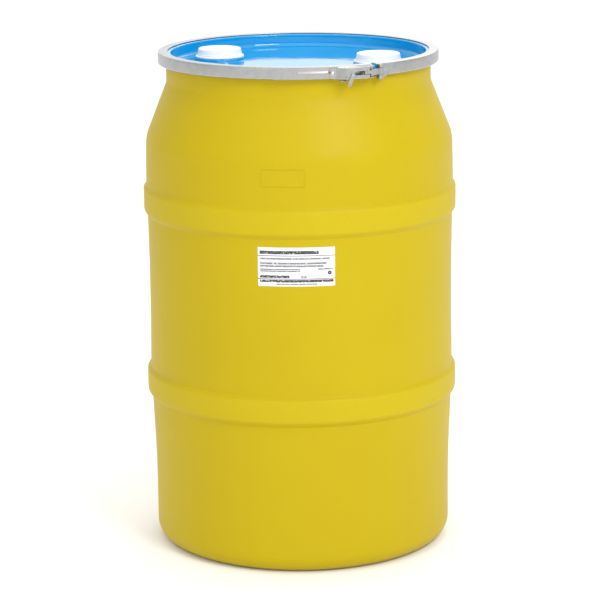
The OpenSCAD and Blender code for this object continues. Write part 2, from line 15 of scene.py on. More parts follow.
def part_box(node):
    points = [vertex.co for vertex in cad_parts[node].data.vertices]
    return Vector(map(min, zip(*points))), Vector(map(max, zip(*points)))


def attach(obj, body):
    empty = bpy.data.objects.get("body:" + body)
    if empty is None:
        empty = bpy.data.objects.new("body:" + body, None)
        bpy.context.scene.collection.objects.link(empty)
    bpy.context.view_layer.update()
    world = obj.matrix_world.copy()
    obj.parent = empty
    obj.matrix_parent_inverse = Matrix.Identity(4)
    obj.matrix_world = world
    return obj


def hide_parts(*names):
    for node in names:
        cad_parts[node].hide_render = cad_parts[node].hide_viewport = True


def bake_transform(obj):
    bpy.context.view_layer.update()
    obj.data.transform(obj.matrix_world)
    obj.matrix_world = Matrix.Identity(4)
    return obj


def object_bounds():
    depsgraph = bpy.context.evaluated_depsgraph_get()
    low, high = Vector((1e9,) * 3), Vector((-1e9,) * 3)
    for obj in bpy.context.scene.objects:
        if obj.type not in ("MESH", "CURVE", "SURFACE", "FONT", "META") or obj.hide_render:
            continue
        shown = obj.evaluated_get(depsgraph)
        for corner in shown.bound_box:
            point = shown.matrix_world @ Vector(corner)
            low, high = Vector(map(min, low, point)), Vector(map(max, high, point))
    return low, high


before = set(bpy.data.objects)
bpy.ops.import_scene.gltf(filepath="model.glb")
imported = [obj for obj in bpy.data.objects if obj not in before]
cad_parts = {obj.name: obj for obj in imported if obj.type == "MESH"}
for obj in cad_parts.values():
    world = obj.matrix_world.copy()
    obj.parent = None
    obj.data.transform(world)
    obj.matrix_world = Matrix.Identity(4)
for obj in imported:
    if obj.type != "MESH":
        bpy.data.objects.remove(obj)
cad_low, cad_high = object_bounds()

MM = 0.001
FULL_TURN = 2 * math.pi
DOUBLE = 1e-6
print("CAD box in mm:", [round(size / MM, 1) for size in cad_high - cad_low])

# %% [markdown]
# ## Camera, light and floor
# The drum is seen from a little above, through a long lens, so its sides stay almost parallel.
# A pale floor and a white surround give the plastic its soft look. One large softbox from the
# right puts the broad highlight on the shoulder. The Standard view keeps the strong yellow and
# blue of the pigments, which a filmic view would wash out.

# %% Camera
CAMERA_BACK = 4.8376
CAMERA_HEIGHT = 1.5681
CAMERA_DOWN = math.radians(12.91)
CAMERA_ROLL = math.radians(-0.63)
CAMERA_LENS = 154.7

camera_data = bpy.data.cameras.new("camera")
camera_data.lens = CAMERA_LENS
camera_data.sensor_width = 36
camera_data.shift_x = -0.0015
camera = bpy.data.objects.new("camera", camera_data)
bpy.context.scene.collection.objects.link(camera)
tilt = Matrix.Rotation(math.pi / 2 - CAMERA_DOWN, 4, "X") @ Matrix.Rotation(CAMERA_ROLL, 4, "Z")
camera.matrix_world = Matrix.Translation((0, -CAMERA_BACK, CAMERA_HEIGHT)) @ tilt
bpy.context.scene.camera = camera
bpy.context.scene.view_settings.view_transform = "Standard"
print("camera", round(CAMERA_BACK, 2), "m away, lens", CAMERA_LENS, "mm")

# %% Colours and nodes
def linear(hex_colour):
    """sRGB hex to the linear colour that a shader takes."""
    channels = [int(hex_colour[i:i + 2], 16) / 255 for i in (1, 3, 5)]
    return tuple(c / 12.92 if c <= 0.04045 else ((c + 0.055) / 1.055) ** 2.4 for c in channels) + (1,)


def add(tree, kind, inputs=None, **settings):
    """Adds a shader node. An input is a value, an output to link, or a node for its first output."""
    node = tree.nodes.new("ShaderNode" + kind)
    for name, value in settings.items():
        setattr(node, name, value)
    for socket, value in (inputs or {}).items():
        if isinstance(value, bpy.types.Node):
            value = value.outputs[0]
        if isinstance(value, bpy.types.NodeSocket):
            tree.links.new(value, node.inputs[socket])
        else:
            node.inputs[socket].default_value = value
    return node


def start_material(name):
    """An empty material, its node tree, and coordinates in metres on the object."""
    material = bpy.data.materials.new(name)
    material.use_nodes = True
    tree = material.node_tree
    tree.nodes.clear()
    return material, tree, add(tree, "TexCoord").outputs["Object"]


def end_material(tree, shader):
    """Links the shader to the material's output."""
    add(tree, "OutputMaterial", {"Surface": shader.outputs["BSDF"]})
    print("a material of", len(tree.nodes), "nodes")

# %% [markdown]
# ### Floor and surround
# The floor is a large matt plane. The surround is brightest in front and behind, and dims to
# the left and right, as between two rows of softboxes.

# %% Floor and surround
FLOOR_HALF = 30
floor_bm = bmesh.new()
bmesh.ops.create_grid(floor_bm, x_segments=1, y_segments=1, size=FLOOR_HALF)
floor_mesh = bpy.data.meshes.new("floor")
floor_bm.to_mesh(floor_mesh)
floor_bm.free()
floor = bpy.data.objects.new("floor", floor_mesh)
bpy.context.scene.collection.objects.link(floor)

paint, tree, _ = start_material("pale_studio_floor")
end_material(tree, add(tree, "BsdfPrincipled", {"Base Color": linear("#FAFAFA"), "Roughness": 1.0}))
floor_mesh.materials.append(paint)

world = bpy.data.worlds.new("studio")
bpy.context.scene.world = world
world.use_nodes = True
sky = world.node_tree
view_way = add(sky, "TexCoord").outputs["Generated"]
sideways = add(sky, "Math", {
    0: add(sky, "SeparateXYZ", {"Vector": view_way}).outputs["X"]}, operation="ABSOLUTE")
level = add(sky, "MapRange", {
    "Value": sideways, "From Min": 0.25, "From Max": 1.0, "To Min": 1.3, "To Max": 0.62})
sky.nodes["Background"].inputs["Color"].default_value = linear("#FFFFFF")
sky.links.new(level.outputs[0], sky.nodes["Background"].inputs["Strength"])
print("the floor is", 2 * FLOOR_HALF, "m wide")

# %% Lamps
def softbox(name, azimuth, elevation, distance, size, power):
    """A square lamp that looks at the middle of the drum. Azimuth 0 is the camera's side."""
    middle = (cad_low + cad_high) / 2
    turn, rise = math.radians(azimuth), math.radians(elevation)
    back = Vector((math.sin(turn) * math.cos(rise), -math.cos(turn) * math.cos(rise), math.sin(rise)))
    lamp = bpy.data.lights.new(name, "AREA")
    lamp.size = size
    lamp.energy = power
    holder = bpy.data.objects.new(name, lamp)
    bpy.context.scene.collection.objects.link(holder)
    aim = (-back).to_track_quat("-Z", "Y").to_matrix().to_4x4()
    holder.matrix_world = Matrix.Translation(middle + back * distance) @ aim
    print(name, "at azimuth", azimuth)


softbox("key_softbox", 33, 36, 4.0, 1.3, 58)
softbox("fill_softbox", -50, 25, 4.5, 2.4, 6)
softbox("back_softbox", 165, 40, 4.0, 2.0, 20)

# %% [markdown]
# ## Helpers for turned and pressed shapes
# Nearly every moulding here is round, so it is drawn as half a section and spun. The section is a
# wire through its corners. A vertex bevel rounds each corner by a true arc, so the script names
# only the corners and their radii, as a drawing would.

# %% Turned sections
def wire(bm, corners, closed=False, longest=12):
    """Draws a wire through corners (radius, height, rounding) in mm, in the XZ plane."""
    points = [Vector((r * MM, 0, z * MM)) for r, z, _ in corners]
    verts = [bm.verts.new(point) for point in points]
    count = len(verts)
    for i in range(count if closed else count - 1):
        bm.edges.new((verts[i], verts[(i + 1) % count]))
    for i, (_, _, rounding) in enumerate(corners):
        if rounding:
            turn = (points[i] - points[i - 1]).angle(points[(i + 1) % count] - points[i])
            bmesh.ops.bevel(
                bm, geom=[verts[i]], offset=rounding * MM * math.tan(turn / 2), offset_type="OFFSET",
                affect="VERTICES", segments=max(4, math.ceil(math.degrees(turn) / 9)),
                profile=0.5, material=-1)
    for edge in list(bm.edges):
        cuts = int(edge.calc_length() / (longest * MM))
        if cuts:
            bmesh.ops.subdivide_edges(bm, edges=[edge], cuts=cuts)


def spin_wire(bm, steps, angle=FULL_TURN, slide=(0, 0, 0)):
    """Spins all that is in bm round the Z axis, and slides it at each step."""
    full = abs(angle - FULL_TURN) < 1e-6 and not any(slide)
    bmesh.ops.spin(
        bm, geom=bm.verts[:] + bm.edges[:] + bm.faces[:], cent=(0, 0, 0), axis=(0, 0, 1), dvec=slide,
        angle=angle, space=Matrix.Identity(4), steps=steps, use_merge=full)


def lathe(corners, steps, closed=False, longest=12):
    """A bmesh turned from a section."""
    bm = bmesh.new()
    wire(bm, corners, closed, longest)
    spin_wire(bm, steps)
    bmesh.ops.remove_doubles(bm, verts=bm.verts, dist=DOUBLE)
    return bm

# %% Pieces
def shift(bm, x, y, z, verts=None):
    """Moves vertices, or the whole bmesh, by a distance in mm."""
    bmesh.ops.translate(bm, vec=(x * MM, y * MM, z * MM), verts=verts or bm.verts)


def extruded(bm):
    """Extrudes all faces in place, and returns the new side's vertices."""
    made = bmesh.ops.extrude_face_region(bm, geom=bm.faces[:])
    return [v for v in made["geom"] if isinstance(v, bmesh.types.BMVert)]


def heights(node):
    """Lowest and highest point of a CAD node, in mm."""
    return tuple(corner.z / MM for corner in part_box(node))


def radius_of(node):
    """Radius of a round and upright CAD node, in mm."""
    low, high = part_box(node)
    return (high.x - low.x) / 2 / MM


def middle_of(node):
    """Middle of a CAD node's box."""
    low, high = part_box(node)
    return (low + high) / 2


def merge_into(bm, other):
    """Puts another bmesh's shape into bm, and frees the other."""
    scratch = bpy.data.meshes.new("scratch")
    other.to_mesh(scratch)
    other.free()
    bm.from_mesh(scratch)
    bpy.data.meshes.remove(scratch)


def make_piece(bm, name, body, material, replaces=()):
    """Turns a bmesh into a named piece that rides on a body of the frame."""
    bmesh.ops.remove_doubles(bm, verts=bm.verts, dist=DOUBLE)
    bmesh.ops.recalc_face_normals(bm, faces=bm.faces)
    mesh = bpy.data.meshes.new(name)
    bm.to_mesh(mesh)
    bm.free()
    mesh.shade_smooth()
    mesh.set_sharp_from_angle(angle=math.radians(35))
    mesh.materials.append(material)
    piece = bpy.data.objects.new(name, mesh)
    bpy.context.scene.collection.objects.link(piece)
    if body:
        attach(piece, body)
    if replaces:
        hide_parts(*replaces)
    print(name, "has", len(mesh.polygons), "faces")
    return piece

# %% [markdown]
# ## Blow-moulded polyethylene
# The body is high-density polyethylene, blown against a mould. Its skin is satin, with a fine
# orange peel, faint upright flow lines, and a witness line where the mould's two halves met.
# The hoops touch other drums, so their crests are rubbed very slightly paler and duller.

# %% Yellow HDPE
SKIN_GRAIN = 1.4
FLOW_WIDTH = 9
SPLIT_LINE = 0.7
RUB_DEPTH = 1.5


def yellow_hdpe():
    material, tree, place = start_material("blow_moulded_yellow_hdpe")
    # Orange peel: grains of about 1.4 mm, as coarse as the mould's blasted steel leaves them
    grain = add(tree, "TexNoise", {"Vector": place, "Scale": 1 / (SKIN_GRAIN * MM), "Detail": 2.0})
    # Flow lines run down the wall, so the pattern is stretched along Z
    stretched = add(tree, "Mapping", {"Vector": place, "Scale": (1, 1, 0.06)})
    flow = add(tree, "TexNoise", {
        "Vector": stretched, "Scale": 1 / (FLOW_WIDTH * MM), "Detail": 3.0, "Roughness": 0.6})
    clouds = add(tree, "TexNoise", {"Vector": place, "Scale": 4.5, "Detail": 2.0})
    # The colour drifts by a few percent between thick and thin stretches of the wall
    drift = add(tree, "Mix", {
        0: clouds, 6: linear("#BEA800"), 7: linear("#B8A000")}, data_type="RGBA").outputs[2]
    # Rubbing: it starts RUB_DEPTH below the crests, and grains of 3 mm break it up
    in_plan = add(tree, "Mapping", {"Vector": place, "Scale": (1, 1, 0)})
    radius = add(tree, "VectorMath", {0: in_plan}, operation="LENGTH")
    crest = add(tree, "MapRange", {
        "Value": radius.outputs["Value"], "From Min": cad_high.x - RUB_DEPTH * MM, "From Max": cad_high.x})
    scuffs = add(tree, "TexNoise", {"Vector": place, "Scale": 1 / (3 * MM), "Detail": 3.0})
    rub = add(tree, "Math", {0: crest, 1: scuffs}, operation="MULTIPLY")
    rubbed = add(tree, "Mix", {0: rub, 6: drift, 7: linear("#C3AF14")}, data_type="RGBA").outputs[2]
    satin = add(tree, "MapRange", {"Value": flow, "To Min": 0.42, "To Max": 0.52})
    dull = add(tree, "Math", {0: rub, 1: 0.12, 2: satin}, operation="MULTIPLY_ADD")
    across = add(tree, "SeparateXYZ", {"Vector": place})
    off_line = add(tree, "Math", {0: across.outputs["Y"]}, operation="ABSOLUTE")
    split = add(tree, "MapRange", {"Value": off_line, "From Min": 0.0, "From Max": SPLIT_LINE * MM,
        "To Min": 1.0, "To Max": 0.0})
    height = add(tree, "Math", {0: grain, 1: 0.35}, operation="MULTIPLY")
    with_flow = add(tree, "Math", {0: flow, 1: height}, operation="ADD")
    relief = add(tree, "Math", {0: with_flow, 1: split}, operation="ADD")
    bump = add(tree, "Bump", {"Height": relief, "Distance": 0.06 * MM, "Strength": 0.6})
    shader = add(tree, "BsdfPrincipled", {"Base Color": rubbed, "Roughness": dull, "IOR": 1.54,
        "Specular IOR Level": 0.18, "Normal": bump})
    end_material(tree, shader)
    return material


yellow = yellow_hdpe()

# %% [markdown]
# ## The drum's body
# The section runs from the middle of the base, out and up the wall, over the mouth's lip and back
# down the inside. Spinning it gives wall, base and lip in one shell, as blowing does. The base is
# given a shallow recess, so that it stands on its rim.

# %% Sizes of the body
WALL = 4
BARREL_R = cad_high.x / MM - 6.7
LOW_R = BARREL_R - 7.1
FLARE_R = BARREL_R - 1.5
UPPER_R = BARREL_R + 1.7
HOOP_R = BARREL_R + 6.7
WAIST_R = BARREL_R - 1.9
NECK_R = 249.3
LIP_R = NECK_R + 9.5
MOUTH_R = NECK_R - 4.5
LIP_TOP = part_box("drum_body")[1].z / MM
LIP_LOW = LIP_TOP - 9.7
HOOP_LOW_Z = 285
HOOP_LEN = 57
HOOP_TOP_Z = 636.5
FLARE_Z = HOOP_LOW_Z - 125
SHOULDER_Z = 784
NECK_Z = 886.5
BASE_RECESS_R = 222
BASE_RECESS = 2
BODY_STEPS = 256
print("radius of barrel", round(BARREL_R, 1), "mm, of hoops", round(HOOP_R, 1), "mm")

# %% [markdown]
# ### Corners and ripple
# The inside repeats the outside's corners, one wall thickness further in. A blown wall is never
# quite true, so a soft ripple, under half a millimetre deep, bends the reflections.

# %% Corners and ripple
RIPPLE = 0.35


def hoop_side(z, r_low, r_high, depth):
    """A rolling hoop's corners: a slope out, a rounded crest and a short slope in."""
    return [
        (r_low - depth, z, 3 + depth),
        (HOOP_R - depth, z + 9, 12 - depth),
        (HOOP_R - depth, z + HOOP_LEN - 6, 6 - depth),
        (r_high - depth, z + HOOP_LEN, 4 + depth),
    ]


def barrel_side(depth):
    """The wall's corners from the base's edge to the shoulder, moved in by depth."""
    return [
        (LOW_R - depth, depth, 34 - depth),
        (LOW_R - depth, FLARE_Z, 2200),
        *hoop_side(HOOP_LOW_Z, FLARE_R, BARREL_R, depth),
        (WAIST_R - depth, (HOOP_LOW_Z + HOOP_LEN + HOOP_TOP_Z) / 2, 4000),
        *hoop_side(HOOP_TOP_Z, BARREL_R, UPPER_R, depth),
        (BARREL_R - depth, SHOULDER_Z, 70 - depth),
    ]


def fade(value, start, end):
    """Rises smoothly from 0 at start to 1 at end."""
    share = min(1, max(0, (value - start) / (end - start)))
    return share * share * (3 - 2 * share)


def ripple(point):
    """Radial ripple of the blown wall, in metres: inwards only, so the hoops keep their size."""
    height = point.z / MM
    amount = RIPPLE * fade(height, 40, 120) * (1 - fade(height, 800, 870))
    return -amount * MM * (0.5 + 0.5 * noise.noise(point * 9.0))


def rippled(bm):
    """Moves every vertex of bm along its radius by the ripple."""
    for vert in bm.verts:
        radius = math.hypot(vert.co.x, vert.co.y)
        if radius > 0.2:
            scale = 1 + ripple(vert.co) / radius
            vert.co.x *= scale
            vert.co.y *= scale

# %% Body
body_section = [
    (0, BASE_RECESS, 0),
    (BASE_RECESS_R, BASE_RECESS, 3),
    (BASE_RECESS_R + 4, 0, 3),
    *barrel_side(0),
    (NECK_R, NECK_Z, 25),
    (NECK_R, LIP_LOW, 1.5),
    (LIP_R, LIP_LOW, 2),
    (LIP_R, LIP_TOP, 2),
    (MOUTH_R, LIP_TOP, 2),
    (MOUTH_R, NECK_Z, 28),
    *reversed(barrel_side(WALL)),
    (0, WALL, 0),
]
body_bm = lathe(body_section, BODY_STEPS)
rippled(body_bm)
make_piece(body_bm, "drum_shell", "drum", yellow, ["drum_body"])

# %% Sheets on the wall
def on_wall(bm, mid_deg, radius_at):
    """Wraps a flat sheet, drawn in X and Z, round the drum. Y is then the height off the wall."""
    for vert in bm.verts:
        turn = math.radians(mid_deg) + vert.co.x / (BARREL_R * MM)
        radius = radius_at(vert.co.z) - vert.co.y
        vert.co = Vector((radius * math.sin(turn), -radius * math.cos(turn), vert.co.z))


def upper_barrel_r(z):
    """Radius of the upper barrel, which tapers a little towards the shoulder."""
    start = HOOP_TOP_Z + HOOP_LEN
    return (UPPER_R + (BARREL_R - UPPER_R) * (z / MM - start) / (SHOULDER_Z - start)) * MM


def flat_sheet(width, height, mid_z, spacing):
    """A flat upright grid, width by height in mm, in the XZ plane at Y = 0."""
    bm = bmesh.new()
    bmesh.ops.create_grid(
        bm, x_segments=max(1, round(width / spacing)), y_segments=max(1, round(height / spacing)), size=0.5)
    bmesh.ops.scale(bm, vec=(width * MM, height * MM, 1), verts=bm.verts)
    bmesh.ops.rotate(bm, cent=(0, 0, 0), matrix=Matrix.Rotation(math.pi / 2, 3, "X"), verts=bm.verts)
    shift(bm, 0, 0, mid_z)
    return bm

# %% [markdown]
# ### The moulded panel
# A raised line frames an empty panel on the upper barrel. Its edges are rounded, as in any mould.

# %% Outline of the moulded panel
PANEL_W = 80
PANEL_H = 32
PANEL_LINE = 1.6
PANEL_RISE = 1.6
PANEL_SUNK = 1.0
PANEL_MID_DEG = -6
PANEL_MID_Z = (HOOP_TOP_Z + HOOP_LEN + SHOULDER_Z) / 2 + 10


def panel_outline():
    """A frame of raised line on the wall, with its back sunk into the wall."""
    bm = flat_sheet(PANEL_W, PANEL_H, PANEL_MID_Z, 200)
    faces = bm.faces[:]
    bmesh.ops.inset_region(bm, faces=faces, thickness=PANEL_LINE * MM, depth=0, use_boundary=True)
    bmesh.ops.delete(bm, geom=faces, context="FACES")
    long_edges = [e for e in bm.edges if e.calc_length() > 6 * MM]
    bmesh.ops.subdivide_edges(bm, edges=long_edges, cuts=24, use_grid_fill=True)
    top = extruded(bm)
    shift(bm, 0, -PANEL_RISE, 0, top)
    shift(bm, 0, PANEL_SUNK, 0)
    rim = [e for e in bm.edges if all(v in set(top) for v in e.verts) and e.calc_face_angle(0) > 1]
    bmesh.ops.bevel(
        bm, geom=rim, offset=0.5 * MM, offset_type="OFFSET", affect="EDGES", segments=3,
        profile=0.5, material=-1, clamp_overlap=True)
    on_wall(bm, PANEL_MID_DEG, upper_barrel_r)
    rippled(bm)
    return bm


make_piece(panel_outline(), "panel_outline", "drum", yellow)

# %% [markdown]
# ## Injection-moulded blue polyethylene
# The lid is moulded in a polished mould, so it is glossier than the body. A very slight waviness
# breaks up what it mirrors, and a fine grain varies its gloss.

# %% Blue HDPE
LID_WAVE = 55


def blue_hdpe():
    material, tree, place = start_material("injection_moulded_blue_hdpe")
    wave = add(tree, "TexNoise", {"Vector": place, "Scale": 1 / (LID_WAVE * MM), "Detail": 1.0})
    fine = add(tree, "TexNoise", {"Vector": place, "Scale": 700.0, "Detail": 2.0})
    tone = add(tree, "Mix", {
        0: wave, 6: linear("#0090CE"), 7: linear("#009CDC")}, data_type="RGBA").outputs[2]
    gloss = add(tree, "MapRange", {"Value": fine, "To Min": 0.03, "To Max": 0.08})
    soft = add(tree, "Bump", {"Height": wave, "Distance": 0.5 * MM, "Strength": 0.5})
    end_material(tree, add(tree, "BsdfPrincipled", {"Base Color": tone, "Roughness": gloss, "IOR": 1.54,
        "Specular IOR Level": 0.75, "Normal": soft}))
    return material


blue = blue_hdpe()

# %% [markdown]
# ## The lid
# The lid is one moulding: a rim that lies on the mouth, a skirt outside it, a plug wall inside it
# and a recessed panel with a boss round each bung hole. The round parts are turned. The flat
# stretches between them, which have two holes, are filled from their edge loops.

# %% Sizes of the lid
BOSS_LOW, RIM_TOP = heights("lid")
RIM_UNDER = RIM_TOP - 5
SKIRT_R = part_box("lid")[1].x / MM
SKIRT_IN_R = SKIRT_R - 2.8
SKIRT_LOW = RIM_UNDER - 9.7
PANEL_TOP = RIM_TOP - 23.7
PANEL_UNDER = PANEL_TOP - 4
PLUG_R = MOUTH_R - 0.5
RECESS_R = PLUG_R - 4.3
BOSS_TOP = heights("bung_gasket_a")[0]
BOSS_R = 47.2
BORE_R = 30.4
LID_STEPS = 192
BOSS_STEPS = 96
print("the lid's panel lies", round(RIM_TOP - PANEL_TOP, 1), "mm under its rim")


def add_turned(bm, corners, centre, steps, closed=False):
    """Adds a shape turned round an upright axis through centre."""
    part = lathe(corners, steps, closed)
    bmesh.ops.translate(part, vec=(centre.x, centre.y, 0), verts=part.verts)
    merge_into(bm, part)


def fill_level(bm, height, up):
    """Fills the flat area between the open edge loops at a height in mm."""
    loops = [
        e for e in bm.edges
        if e.is_boundary and all(abs(v.co.z - height * MM) < DOUBLE for v in e.verts)]
    bmesh.ops.triangle_fill(
        bm, use_beauty=True, use_dissolve=False, edges=loops, normal=(0, 0, 1 if up else -1))

# %% Lid
lid_bm = bmesh.new()
drum_axis = Vector((0, 0, 0))
add_turned(lid_bm, [
    (RECESS_R - 9, PANEL_TOP, 0),
    (RECESS_R, PANEL_TOP, 7),
    (RECESS_R, RIM_TOP, 2.5),
    (SKIRT_R, RIM_TOP, 2.5),
    (SKIRT_R, SKIRT_LOW, 0.9),
    (SKIRT_IN_R, SKIRT_LOW, 0.9),
    (SKIRT_IN_R, RIM_UNDER, 0.8),
    (PLUG_R, RIM_UNDER, 0.8),
    (PLUG_R, PANEL_UNDER, 8),
    (PLUG_R - 10, PANEL_UNDER, 0),
], drum_axis, LID_STEPS)
for bung in ("bung_a", "bung_b"):
    axis = middle_of(bung)
    add_turned(lid_bm, [
        (BOSS_R + 2.2, PANEL_TOP, 0),
        (BOSS_R + 0.2, PANEL_TOP, 1.4),
        (BOSS_R - 0.4, BOSS_TOP, 1.6),
        (BORE_R, BOSS_TOP, 0.7),
        (BORE_R, BOSS_LOW, 0.7),
        (BORE_R + 5.5, BOSS_LOW, 1),
        (BORE_R + 5.5, PANEL_UNDER, 1.4),
        (BORE_R + 8, PANEL_UNDER, 0),
    ], axis, BOSS_STEPS)
bmesh.ops.remove_doubles(lid_bm, verts=lid_bm.verts, dist=DOUBLE)
fill_level(lid_bm, PANEL_TOP, True)
fill_level(lid_bm, PANEL_UNDER, False)
make_piece(lid_bm, "lid_moulding", "lid", blue, ["lid"])

# %% [markdown]
# ## Gaskets
# A rubber gasket seals the lid on the lip, and a smaller one seals each bung. They are turned
# beads of EPDM, with a dull skin and a faint bloom.

# %% EPDM rubber and gaskets
def epdm_rubber():
    material, tree, place = start_material("moulded_epdm_rubber")
    bloom = add(tree, "TexNoise", {"Vector": place, "Scale": 60.0, "Detail": 4.0})
    tone = add(tree, "Mix", {
        0: bloom, 6: linear("#1B1B1C"), 7: linear("#2C2C2E")}, data_type="RGBA").outputs[2]
    relief = add(tree, "Bump", {"Height": bloom, "Distance": 0.05 * MM})
    end_material(tree, add(tree, "BsdfPrincipled", {
        "Base Color": tone, "Roughness": 0.68, "IOR": 1.5, "Normal": relief}))
    return material


rubber = epdm_rubber()


def gasket(node, body, inner, outer):
    """A rounded rubber ring in the place of a CAD gasket."""
    bottom, top = heights(node)
    rounding = 0.3 * (top - bottom)
    bm = bmesh.new()
    add_turned(bm, [
        (inner, bottom, rounding), (outer, bottom, rounding),
        (outer, top, rounding), (inner, top, rounding),
    ], middle_of(node), BOSS_STEPS, closed=True)
    make_piece(bm, node + "_bead", body, rubber, [node])


gasket("lid_gasket", "lid", MOUTH_R + 1.2, LIP_R - 0.8)
for side in ("a", "b"):
    outer = radius_of("bung_gasket_" + side)
    gasket("bung_gasket_" + side, "bung_ring_" + side, outer - 5.4, outer)

# %% [markdown]
# ## Bungs
# Bungs and their cap seals are moulded of plain white polyethylene, which lets a little light in.

# %% White polyethylene
def white_pe(name, tone_a, tone_b, roughness):
    material, tree, place = start_material(name)
    haze = add(tree, "TexNoise", {"Vector": place, "Scale": 35.0, "Detail": 3.0})
    grain = add(tree, "TexNoise", {"Vector": place, "Scale": 900.0, "Detail": 1.0})
    tone = add(tree, "Mix", {0: haze, 6: linear(tone_a), 7: linear(tone_b)}, data_type="RGBA").outputs[2]
    relief = add(tree, "Bump", {"Height": grain, "Distance": 0.02 * MM})
    end_material(tree, add(tree, "BsdfPrincipled", {
        "Base Color": tone, "Roughness": roughness, "IOR": 1.51, "Subsurface Weight": 0.15,
        "Subsurface Radius": (0.003, 0.003, 0.003), "Normal": relief}))
    return material


bung_white = white_pe("moulded_natural_hdpe", "#E4E2DA", "#DAD8CF", 0.42)
cap_white = white_pe("moulded_white_ldpe", "#F2F2F2", "#EAEAEC", 0.3)

# %% [markdown]
# ### Thread, lugs and flange
# A 2 in bung is a hollow screw plug with two lugs for a wrench. Its thread is a true helix: a
# ridge's section is spun, and slid one pitch for each turn.

# %% Bungs
PITCH = 5.08
THREAD_TURNS = 3.7
STEPS_A_TURN = 72
CREST_R = 30
ROOT_R = CREST_R - 1.6
WELL_R = ROOT_R - 4.6
FLANGE_T = 5
FLOOR_T = 4
LUG = 6


def thread_ridge(bottom):
    """The thread, round the Z axis: a ridge's section is spun and slid."""
    ridge = bmesh.new()
    start = bottom + 1.2
    wire(ridge, [
        (ROOT_R - 0.4, start, 0), (CREST_R, start + 0.35 * PITCH, 0.3),
        (CREST_R, start + 0.5 * PITCH, 0.3), (ROOT_R - 0.4, start + 0.8 * PITCH, 0)], closed=True)
    bmesh.ops.holes_fill(ridge, edges=ridge.edges, sides=0)
    steps = round(STEPS_A_TURN * THREAD_TURNS)
    spin_wire(ridge, steps, steps / STEPS_A_TURN * FULL_TURN, slide=(0, 0, PITCH * MM / STEPS_A_TURN))
    return ridge


def wrench_lug(way, bottom, top, turn):
    """A lug against the well's wall, on one side of the Z axis or the other."""
    lug = bmesh.new()
    height = top - 1 - bottom - 3
    bmesh.ops.create_cube(lug, size=1)
    bmesh.ops.scale(lug, vec=(LUG * MM, LUG * MM, height * MM), verts=lug.verts)
    bmesh.ops.bevel(
        lug, geom=lug.edges[:], offset=0.8 * MM, offset_type="OFFSET", affect="EDGES", segments=3,
        profile=0.5, material=-1)
    shift(lug, way * (WELL_R - LUG / 2 + 0.4), 0, bottom + 3 + height / 2)
    bmesh.ops.transform(lug, matrix=turn, verts=lug.verts)
    return lug


def bung_piece(side):
    """A bung with its flange, its helical thread and its two wrench lugs."""
    axis = middle_of("bung_" + side)
    bottom, top = heights("bung_" + side)
    flange_r = radius_of("bung_" + side)
    seat = top - FLANGE_T
    bm = bmesh.new()
    add_turned(bm, [
        (0, bottom, 0), (ROOT_R, bottom, 1.5), (ROOT_R, seat, 0.6), (flange_r, seat, 0.6),
        (flange_r, top, 1.2), (WELL_R, top, 0.9), (WELL_R, bottom + FLOOR_T, 2),
        (0, bottom + FLOOR_T, 0),
    ], axis, BOSS_STEPS)
    turn = Matrix.Rotation(math.atan2(axis.y, axis.x), 4, "Z")
    for part in (thread_ridge(bottom), *(wrench_lug(way, bottom, top, turn) for way in (-1, 1))):
        bmesh.ops.translate(part, vec=(axis.x, axis.y, 0), verts=part.verts)
        merge_into(bm, part)
    make_piece(
        bm, "threaded_bung_" + side, "bung_" + side, bung_white, ["bung_" + side])


for side in ("a", "b"):
    bung_piece(side)

# %% [markdown]
# ## Cap seals
# A cap seal snaps over each bung to show that nobody has opened it. It is a thin cover with a
# rolled top edge, a step near its foot and a flange that lies on the boss.

# %% Cap seals
def cap_piece(side):
    """A cover that is turned in one piece, open below."""
    foot_r = radius_of("cap_seal_" + side)
    bottom, top = heights("cap_seal_" + side)
    neck_r = foot_r - 3.8
    bm = bmesh.new()
    add_turned(bm, [
        (0, top - 0.5, 0),
        (neck_r - 7, top - 0.5, 1.2),
        (neck_r - 5.6, top, 1.0),
        (neck_r - 2, top, 2.2),
        (neck_r - 0.2, bottom + 6.4, 1.0),
        (neck_r + 0.9, bottom + 5.2, 0.5),
        (neck_r + 0.4, bottom + 3.6, 0.4),
        (foot_r, bottom + 2.6, 0.7),
        (foot_r, bottom, 0.5),
        (neck_r - 3.7, bottom, 0.4),
        (neck_r - 3.7, top - 1.7, 1.0),
        (0, top - 1.7, 0),
    ], middle_of("cap_seal_" + side), 128)
    make_piece(bm, "snap_cap_" + side, "cap_" + side, cap_white, ["cap_seal_" + side])


for side in ("a", "b"):
    cap_piece(side)

# %% [markdown]
# ## Galvanised steel
# The closing ring and its latch are pressed from galvanised sheet. Zinc freezes in crystals, the
# spangle, which catch the light a little differently. Where the rivet broke the zinc, rust blooms.

# %% Zinc finishes
SPANGLE = 7
RUST_REACH = 5
rivet_place = middle_of("handle_rivet")


